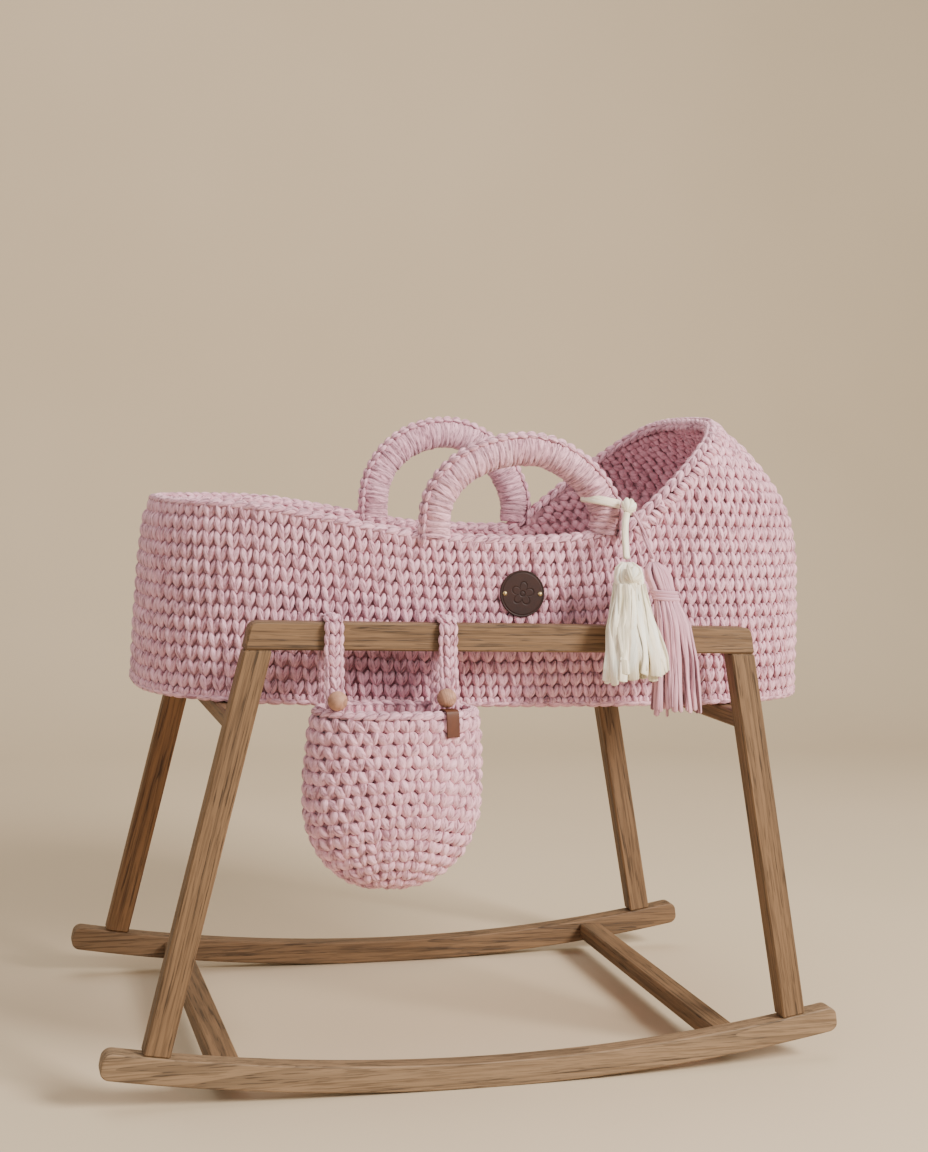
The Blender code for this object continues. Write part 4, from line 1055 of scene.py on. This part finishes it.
def build_cords():
    band = wound_tie()
    knot = knot_lobes("cream_tie_knot", KNOT, 0.0095, 5, 0.0042)
    finish_piece(band, CREAM, "front_handle", "cream_tie")
    finish_piece(knot, CREAM, "front_handle")
    line = cord_line(CREAM_CORD)
    cord = yarn_mesh("cream_cord_strand", line[None], TOWARDS_VIEWER, 0.0040, 0.0030)
    finish_piece(cord, CREAM, "cream_hanger", "cream_cord")
    line = cord_line(PINK_CORD)
    phase = np.linspace(0, 5.0, 34)
    wind = xyz(0.0014 * np.cos(phase), 0.0012 * np.sin(phase), 0)
    strands = np.stack([line + wind, line - wind])
    cord = yarn_mesh("pink_cord_strands", strands, TOWARDS_VIEWER, 0.0015, 0.0013)
    finish_piece(cord, PINK_STRIP, "pink_hanger", "pink_cord")


def build_tassels():
    core = tassel_core("cream_tassel_core", CREAM_TASSEL, 0.549, 0.450)
    pieces = [strips(f"cream_tassel_{part}", CREAM_TASSEL, *sizes) for part, *sizes in CREAM_STRIPS]
    pieces.append(knot_lobes("cream_tassel_knot", on_stand(0.1236, -0.2345, 0.5375), 0.0105, 4, 0.0046))
    finish_piece(core, CREAM_PAINTED_SHADE, "cream_tassel", "cream_tassel")
    for piece in pieces:
        finish_piece(piece, CREAM, "cream_tassel")
    core = tassel_core("pink_tassel_heart", PINK_TASSEL, 0.550, 0.410)
    pieces = [strips(f"pink_tassel_{part}", PINK_TASSEL, *sizes) for part, *sizes in PINK_STRIPS]
    band = neck_band("pink_tassel_wrap", PINK_TASSEL, 0.5185, 3, 0.0020)
    finish_piece(core, PINK_PAINTED_SHADE, "pink_tassel", "pink_tassel")
    for piece in pieces:
        finish_piece(piece, PINK_STRIP, "pink_tassel")
    finish_piece(band, PINK_STRIP, "pink_tassel", "pink_tassel_band")


# ---------------------------------------------------------------- pocket and its loops
POCKET = on_stand(-0.122, -0.2325, 0)
POCKET_MOUTH_Z = 0.4005
POCKET_BOTTOM = 0.2194
POCKET_HALF_WIDTH = 0.0893
POCKET_HALF_DEPTH = 0.0465
POCKET_NARROWING = 0.0065
POCKET_BELLY_Z = 0.315
POCKET_POWER = 2.3
POCKET_WALL = 0.009
POCKET_ROW = 0.0130
POCKET_STITCH = 0.0158        # distance between stitches, each of which overlaps the next
POCKET_STITCH_WIDTH = 0.0188
POCKET_RIM_GAP = 0.0118
POCKET_SHIFT = 0.38           # how far each round's stitches stand beside the next one's, in stitches
STRAPS = {"left": -0.1872, "right": -0.0700}
STRAP_CLEAR = 0.0012
STRAP_THICKNESS = 0.005
STRAP_END_Z = 0.4085
STRAP_ROW = 0.0105
STRAP_STITCH = 0.0112


def pocket_wall():
    turns = TAU * np.arange(360) / 360
    x, y = (signed_power(side, 2 / POCKET_POWER) for side in (np.cos(turns), np.sin(turns)))
    rows = []
    for lift in np.linspace(0.02, QUARTER_TURN, 40):
        share = math.cos(lift)
        rounding = (1 - share ** 2.2) ** (1 / 2.2)
        z = POCKET_BELLY_Z - (POCKET_BELLY_Z - POCKET_BOTTOM) * share
        rows.append(xyz(x * POCKET_HALF_WIDTH * rounding, y * POCKET_HALF_DEPTH * rounding, z))
    for share in np.linspace(0, 1, 14)[1:]:
        draw_in = POCKET_NARROWING * share ** 2
        z = POCKET_BELLY_Z + (POCKET_MOUTH_Z - POCKET_BELLY_Z) * share
        rows.append(xyz(x * (POCKET_HALF_WIDTH - draw_in), y * (POCKET_HALF_DEPTH - draw_in * 0.6), z))
    return Wall(np.stack(rows, axis=1) + POCKET)


def pocket_backing(wall):
    """Closed body of the bag: outside from the bottom, over the mouth and down the inside."""
    turns = TAU * np.arange(120) / 120
    length = wall.per_turn(wall.length, turns)
    rings = [wall.behind(turns, length * share, 0.0036) for share in np.linspace(0.02, 0.985, 40)]
    rings += [wall.behind(turns, length * share, 0.0072) for share in np.linspace(0.985, 0.10, 36)]
    return backing("pocket_backing", rings, 5.0, 0.25)


def pocket_rows(wall):
    """Turns, arcs and pitches of the bag's rounds, from the mouth down."""
    dense = np.linspace(0, TAU, 1441)
    length = wall.per_turn(wall.length, dense)
    rows = int(round(wall.length.mean() / POCKET_ROW))
    lines = [(row, wall.place(dense, length * (row + 0.10) / rows)) for row in range(rows - 1, 0, -1)]
    widest = max(line_length(places) for _, places in lines)
    found = []
    for row, places in lines:
        around = line_length(places)
        gap = around / round(widest / POCKET_STITCH) if around > 0.93 * widest else POCKET_STITCH
        turns = even_turns(places, dense, gap, row * POCKET_SHIFT % 1)
        step = wall.per_turn(wall.length, turns) / rows
        found.append((turns, step * (row + 0.10), step))
    return [np.concatenate(column) for column in zip(*found)]


def inner_loops(wall):
    """Upright plump loops inside the bag's mouth."""
    dense = np.linspace(0, TAU, 1441)
    turns = even_turns(wall.place(dense, wall.per_turn(wall.length, dense)), dense, 0.0112)
    length = wall.per_turn(wall.length, turns)
    loops = []
    for low, high in ((0.0195, -0.0006), (0.0360, 0.0170)):
        here, _, _, out = wall.frame(turns, length - low)
        there = wall.place(turns, length - high)
        loops.append((here - out * 0.0062, there - out * 0.0062, -out))
    return leaf_mesh("pocket_inner_loops", loops, 0.0057, 0.0036, head=1.0)


def strap_line(x):
    """Middle of a loop from inside the bag's front, over the rail, to inside its back."""
    reach = STRAP_CLEAR + STRAP_THICKNESS / 2
    front, rear = RAIL_LOW.y - reach, RAIL_HIGH.y + reach
    top, bottom = RAIL_HIGH.z + reach, RAIL_LOW.z
    line = (
        (front - 0.0185, STRAP_END_Z - 0.018),
        (front - 0.0155, STRAP_END_Z),
        (front - 0.0020, bottom - 0.003),
        (front, bottom + 0.008),
        (front, top),
        (rear, top),
        (rear, bottom + 0.008),
        (rear - 0.0020, bottom - 0.003),
        (rear - 0.0080, STRAP_END_Z),
        (rear - 0.0100, STRAP_END_Z - 0.018),
    )
    return even_points(rounded([(STAND.x + x, y, z) for y, z in line], 2), 220)


def strap_edges(spots, along, up, outs, name):
    """Smooth overlapping loops down both edges of a pocket loop."""
    loops = []
    for edge in (-1, 1):
        middle = spots + along * edge * 0.0076 + outs * 0.0006
        start = middle - up * STRAP_ROW * 0.85 - along * edge * 0.0014
        loops.append((start, middle + up * STRAP_ROW * 0.60, unit(outs + along * edge * 0.8)))
    return leaf_mesh(name, loops, 0.0030, 0.0027, bulge=0.0006)


def build_strap(side, x):
    line = strap_line(x)
    ahead = unit(np.gradient(line, axis=0))
    across = np.broadcast_to(np.array([1.0, 0.0, 0.0]), line.shape)
    out = unit(np.cross(across, ahead))
    band = bar_mesh(f"{side}_strap_backing", line, out, 0.0080, 0.0015, 0.0012)
    pick = np.linspace(4, 215, int(line_length(line) / STRAP_ROW)).astype(int)
    spots, along, up, outs = line[pick], across[pick], ahead[pick], out[pick]
    pieces = [band]
    for name, shift, face in (("stitches", 0.0021, outs), ("reverse", -0.0006, -outs)):
        here = spots + outs * shift
        pieces.append(v_stitches(here, along, up, face, STRAP_STITCH, STRAP_ROW, f"{side}_strap_{name}", 0.0))
    pieces.append(strap_edges(spots, along, up, outs, f"{side}_strap_edges"))
    finish_piece(band, PINK_PAINTED_SHADE, None, f"{side}_strap")
    for piece in pieces[1:]:
        finish_piece(piece, PINK, None)
    for piece in pieces:
        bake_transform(piece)


def bead_mesh(name, node):
    """Turned ball with a hole through it, side to side."""
    low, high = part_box(node)
    centre = (low + high) / 2
    radius, hole = (high.x - low.x) / 2, 0.002
    edge = math.asin(hole / radius)
    turns = np.linspace(edge + 0.06, math.pi - edge - 0.06, 28)
    profile = [(radius * math.sin(turn), radius * math.cos(turn)) for turn in turns]
    profile += [(hole, -radius * 0.90), (hole, radius * 0.90), profile[0]]
    turns = TAU * np.arange(40) / 40
    across, up = np.cos(turns), np.sin(turns)
    rings = [xyz(centre.x + depth, centre.y + size * across, centre.z + size * up) for size, depth in profile]
    return outward_faces(add_mesh(name, rings, [grid_faces(len(rings), 40, True)]), weld=True)


def tag_mesh():
    """Leather strip folded over the bag's front rim."""
    tag_x, drop, thickness = -0.0755, 0.026, 0.0016
    half_width = POCKET_HALF_WIDTH - POCKET_NARROWING
    half_depth = POCKET_HALF_DEPTH - POCKET_NARROWING * 0.6
    share = (STAND.x + tag_x - POCKET[0]) / half_width
    front = half_depth * (1 - share ** POCKET_POWER) ** (1 / POCKET_POWER)
    slope = half_depth / half_width * share ** (POCKET_POWER - 1) * (front / half_depth) ** (1 - POCKET_POWER)
    reach = 0.0010 + thickness / 2
    outer, inner, top = -reach - 0.0010, POCKET_WALL * 1.05 + reach, POCKET_MOUTH_Z + reach + 0.0010
    profile = (
        (outer - 0.0034, top - drop),
        (outer - 0.0018, top - drop / 2),
        (outer, top - 0.002),
        (outer + 0.002, top),
        (inner - 0.002, top),
        (inner, top - 0.002),
        (inner, top - 0.010),
    )
    turn = math.atan(slope)
    inward = np.array([-math.sin(turn), math.cos(turn), 0])
    across = np.array([math.cos(turn), math.sin(turn), 0])
    start = np.array([STAND.x + tag_x, POCKET[1] - front, 0])
    line = even_points(rounded([start + inward * depth + np.array([0, 0, z]) for depth, z in profile], 2), 60)
    outs = np.cross(across, unit(np.gradient(line, axis=0)))
    return outward_faces(bar_mesh("leather_tag_strip", line, outs, 0.00725, thickness / 2, 0.0004))


def build_pocket():
    wall = pocket_wall()
    finish_piece(pocket_backing(wall), PINK_PAINTED_SHADE, "pocket", "pocket_bag")
    turns, arcs, step = pocket_rows(wall)
    shape = {"room": arcs, "drop": 0.80, "top": 0.48}
    rows = v_stitches(*wall.frame(turns, arcs), POCKET_STITCH_WIDTH, step, "pocket_rounds", **shape)
    braid = rim_braid(wall, wall.length, "pocket_rim_braid", POCKET_RIM_GAP, POCKET_LINES)
    finish_piece(rows, PINK, "pocket")
    finish_piece(braid, PINK, "pocket")
    finish_piece(inner_loops(wall), PINK_INSIDE_PAINTED_LIGHT, "pocket")
    for side, x in STRAPS.items():
        build_strap(side, x)
        finish_piece(bead_mesh(f"{side}_wooden_bead", f"{side}_bead"), BEAD, "pocket", f"{side}_bead")
    finish_piece(tag_mesh(), TAN_LEATHER, "pocket", "leather_tag")


# ---------------------------------------------------------------- patch, mattress and timber
PATCH_THICKNESS = 0.0025
PATCH_EDGE = 0.0008           # radius of the patch's rounded edge
ROCKER_HEIGHT = 0.0274
ROCKER_RADIUS = 2.252         # of the curve that it stands on
ROCKER_CORNER = 0.010
ROCKER_EDGE = 0.0018
PIPING_INSET = 0.0055         # height between the piping and the pad's top or bottom


def patch_disc():
    """Round leather patch, pressed with a plain five-petal flower and a line round its edge."""
    low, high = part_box("leather_patch")
    centre = np.array((low + high) / 2)
    radius = (high.x - low.x) / 2
    tilt = math.atan(2 * TAPER * (centre[2] - BASKET.z) / TAPER_HEIGHT ** 2)
    face = np.array([0, -math.cos(tilt), math.sin(tilt)])
    right = np.array([1.0, 0, 0])
    up = np.cross(right, face)
    turns = TAU * np.arange(180) / 180
    around = right * np.cos(turns)[:, None] + up * np.sin(turns)[:, None]
    petals = 0.0048 + 0.0075 * np.abs(np.cos(2.5 * turns + 0.5)) ** 0.7
    rings, crest = [], []
    for size in np.linspace(0.0004, radius - PATCH_EDGE, 70):
        line = np.exp(-((size - petals) / 0.0007) ** 2) + np.exp(-((size - 0.0026) / 0.0006) ** 2)
        line = np.clip(line + math.exp(-((size - radius + 0.0022) / 0.0005) ** 2), 0, 1)[:, None]
        rings.append(centre + around * size + face * (PATCH_THICKNESS / 2 - 0.0005 * line))
        crest.append(1 - 0.9 * line)
    for turn in np.linspace(0, math.pi, 9)[1:]:
        size = radius - PATCH_EDGE + PATCH_EDGE * math.sin(turn)
        rings.append(centre + around * size + face * (PATCH_THICKNESS / 2 * math.cos(turn)))
        crest.append(np.full((180, 1), 0.8))
    rings.append(centre + around * 0.0004 - face * (PATCH_THICKNESS / 2))
    crest.append(np.ones((180, 1)))
    return outward_faces(capped_rings("leather_patch_disc", rings, crest=crest))


def rocker_mesh(end, y):
    """Bowed foot of the stand with a smooth curve, rounded at its ends."""
    low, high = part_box(f"{end}_rocker")
    middle, half = (low.x + high.x) / 2, (high.x - low.x) / 2
    sweep = math.asin(half / ROCKER_RADIUS) - 0.0001
    from_end = np.array([*(ROCKER_CORNER * (1 - np.cos(np.linspace(0, QUARTER_TURN, 9)))), 0.012, 0.02])
    spread = sweep - from_end / ROCKER_RADIUS
    turns = np.concatenate([-spread, np.linspace(-spread[-1], spread[-1], 60)[1:-1], spread[::-1]])
    reach = (sweep - np.abs(turns)) * ROCKER_RADIUS

    def rounded_half(size, soft):
        """Half size at each turn, rounded off towards the ends."""
        near = np.clip(soft - reach, 0, soft)
        return size / 2 - soft + np.sqrt(np.maximum(soft ** 2 - near ** 2, 0))

    radius = ROCKER_RADIUS - ROCKER_HEIGHT / 2
    path = xyz(middle + radius * np.sin(turns), y, ROCKER_RADIUS - radius * np.cos(turns))
    ups = xyz(-np.sin(turns), 0, np.cos(turns))
    half_width = rounded_half(high.y - low.y, ROCKER_EDGE)
    half_height = rounded_half(ROCKER_HEIGHT, ROCKER_CORNER)
    return outward_faces(bar_mesh(f"{end}_rocker_curve", path, ups, half_width, half_height, ROCKER_EDGE))


def mattress_pad():
    """Soft white pad: a closed cloth cover blown up a little, then held to the pad's own size."""
    low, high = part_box("mattress")
    half = (high.z - low.z) / 2
    turns = TAU * np.arange(96) / 96
    margin = HALF_LENGTH - (high.x - low.x) / 2
    rings = []
    for lift in np.linspace(-QUARTER_TURN, QUARTER_TURN, 9):
        inset = margin + 0.0005 + half * 0.7 * (1 - math.cos(lift))
        rings.append(base_oval(turns, inset, low.z + half + (half - 0.0010) * math.sin(lift)))
    pad = outward_faces(capped_rings("mattress_pad", rings))
    remesh = pad.modifiers.new("even_faces", "REMESH")
    remesh.mode = "VOXEL"
    remesh.voxel_size = 0.006
    apply_modifiers(pad)
    blow_up(pad, 0.0022)
    smoothing = pad.modifiers.new("rounded", "SUBSURF")
    smoothing.levels = smoothing.render_levels = 1
    apply_modifiers(pad)
    pad.data.shade_smooth()
    return pad


def apply_modifiers(obj):
    """Replace the object's mesh by what its modifiers make of it."""
    graph = bpy.context.evaluated_depsgraph_get()
    made = bpy.data.meshes.new_from_object(obj.evaluated_get(graph))
    obj.modifiers.clear()
    obj.data = made


def blow_up(obj, cap):
    """Puff a closed cover with air, and hold every point within cap of where it began."""
    start = np.array([vertex.co for vertex in obj.data.vertices])
    cloth = obj.modifiers.new("cover", "CLOTH")
    cloth.settings.use_pressure = True
    cloth.settings.uniform_pressure_force = 4
    cloth.settings.effector_weights.gravity = 0
    cloth.settings.quality = 6
    cloth.point_cache.frame_start = 1
    cloth.point_cache.frame_end = 20
    scene = bpy.context.scene
    for moment in range(1, cloth.point_cache.frame_end + 1):
        scene.frame_set(moment)
    graph = bpy.context.evaluated_depsgraph_get()
    blown = obj.evaluated_get(graph).to_mesh()
    shift = np.array([vertex.co for vertex in blown.vertices]) - start
    distance = np.linalg.norm(shift, axis=1, keepdims=True)
    places = start + shift * np.minimum(1, cap / np.maximum(distance, 1e-9))
    obj.modifiers.clear()
    obj.data.vertices.foreach_set("co", places.astype(np.float32).ravel())
    obj.data.update()
    scene.frame_set(1)


def piping(name, height):
    """Thin corded edge round the mattress."""
    low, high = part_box("mattress")
    margin = HALF_LENGTH - (high.x - low.x) / 2
    path = even_points(base_oval(np.linspace(0, TAU, 241), margin + 0.0030, height), 300)
    outs = unit(path - np.array([BASKET.x, BASKET.y, height]))
    return yarn_mesh(name, path[None], outs[None], 0.0020, 0.0020)


def build_hard_parts():
    finish_piece(patch_disc(), DARK_LEATHER, "basket", "leather_patch")
    pad = mattress_pad()
    finish_piece(pad, COTTON, "mattress", "mattress")
    low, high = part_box("mattress")
    for name, height in (("upper", high.z - PIPING_INSET), ("lower", low.z + PIPING_INSET)):
        finish_piece(piping(f"mattress_piping_{name}", height), COTTON, "mattress")
    for end, low, high in (("front", RAIL_LOW, RAIL_HIGH), ("rear", REAR_RAIL_LOW, REAR_RAIL_HIGH)):
        finish_piece(rocker_mesh(end, (low.y + high.y) / 2), OAK_ROCKER[end], "stand", f"{end}_rocker")


def finish_cad_nodes():
    """Materials for the nodes of the CAD that stay in sight or hidden inside."""
    for name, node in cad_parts.items():
        for ending, material in CAD_LOOKS.items():
            if name.endswith(ending):
                node.data.materials.clear()
                node.data.materials.append(material)


# ---------------------------------------------------------------- finishes, some paired with a slot name
def yarn(slot, name, *numbers):
    return yarn_finish(f"{slot}_yarn_{name}", *numbers), f"{slot}_yarn"


def leather(slot, part, *numbers):
    return leather_finish(f"{slot}_leather_{part}", *numbers), f"{slot}_leather"


def oak_rocker(end, tones, seed):
    return wood_finish(f"oak_{end}_rocker", LEVEL, *tones, seed), "oak"


PINK = yarn("pink", "crochet", (0.82, 0.475, 0.565), (0.70, 0.365, 0.45))
PINK_STRIP = yarn("pink", "strips", (0.74, 0.415, 0.505), (0.62, 0.32, 0.40), 5.0, 0.06, 0.42, 16.0)
# darker copy of the pink yarn for the bodies behind the loops, the strap backings and the pink tassel's
# heart: painted shade where loops and strips leave gaps
PINK_PAINTED_SHADE = yarn("pink", "deep", (0.70, 0.38, 0.44), (0.60, 0.30, 0.36))
# copy of the pink yarn for the inside of the wall and of the bag's mouth, redder and lighter in its tucks:
# painted light and shade for the shaded inside
PINK_INSIDE_PAINTED_LIGHT = yarn("pink", "inside", (0.84, 0.46, 0.55), (0.74, 0.36, 0.44), 8.0, 0.08, 0.62)
CREAM = yarn("cream", "strip", (0.99, 0.92, 0.73), (0.94, 0.85, 0.64), 5.0, 0.02, 0.62, 16.0)
# much darker copy of the cream yarn for the core inside the cream tassel: painted shade between its strips
CREAM_PAINTED_SHADE = yarn("cream", "deep", (0.50, 0.47, 0.34), (0.42, 0.39, 0.27), 5.0, 0.03, 0.45, 16.0)
BROWN_TONES = (0.205, 0.119, 0.060), (0.074, 0.040, 0.019)
WARM_TONES = (0.215, 0.108, 0.044), (0.072, 0.032, 0.012)
PALE_TONES = (0.265, 0.172, 0.098), (0.130, 0.078, 0.041)
SPLAY = 0.2151                # lean of the legs, in radians
RIGHT_LEG = (0, QUARTER_TURN + SPLAY, 0)
LEFT_LEG = (0, QUARTER_TURN - SPLAY, 0)
LEVEL = (0, 0, 0)
ACROSS = (0, 0, -QUARTER_TURN)
OAK_RAIL = wood_finish("oak_rail", LEVEL, *BROWN_TONES, 1.0)
OAK_ACROSS = wood_finish("oak_across", ACROSS, *BROWN_TONES, 2.0)
OAK_LEG = {
    name: wood_finish(f"oak_{name}", along, *tones, seed)
    for name, along, tones, seed in (
        ("front_left_leg", LEFT_LEG, BROWN_TONES, 3.0),
        ("front_right_leg", RIGHT_LEG, BROWN_TONES, 4.0),
        ("rear_left_leg", LEFT_LEG, WARM_TONES, 5.0),
        ("rear_right_leg", RIGHT_LEG, BROWN_TONES, 6.0),
    )
}
OAK_ROCKER = {"front": oak_rocker("front", PALE_TONES, 7.0), "rear": oak_rocker("rear", BROWN_TONES, 8.0)}
BEECH = wood_finish("beech_tenon", (0, QUARTER_TURN, 0), (0.62, 0.44, 0.28), (0.50, 0.33, 0.20), 9.0, 0.3)
PLYWOOD = wood_finish("plywood_board", LEVEL, (0.60, 0.45, 0.29), (0.48, 0.34, 0.21), 10.0, 0.3)
BEAD = wood_finish("bead_maple", ACROSS, (0.46, 0.245, 0.165), (0.36, 0.175, 0.11), 11.0, 0.15), "bead_wood"
DARK_LEATHER = leather("dark", "patch", (0.036, 0.011, 0.007), (0.022, 0.007, 0.005), 0.62)
TAN_LEATHER = leather("tan", "tag", (0.150, 0.042, 0.014), (0.095, 0.025, 0.009), 0.5)
COTTON = cotton_finish(), "white_cotton"
ROPE = rope_finish()
BRASS = brass_finish()
# looks of the CAD's nodes, by how their names end
CAD_LOOKS = {
    **OAK_LEG,
    "_tenon": BEECH,
    "_top_rail": OAK_RAIL,
    "_cross_rail": OAK_ACROSS,
    "_stretcher": OAK_ACROSS,
    "_handle_core": ROPE,
    "patch_stud_left": BRASS,
    "patch_stud_right": BRASS,
    "base_board": PLYWOOD,
}

# ---------------------------------------------------------------- build
build_camera()
build_studio()
build_basket()
build_handles()
build_cords()
build_tassels()
build_pocket()
build_hard_parts()
finish_cad_nodes()
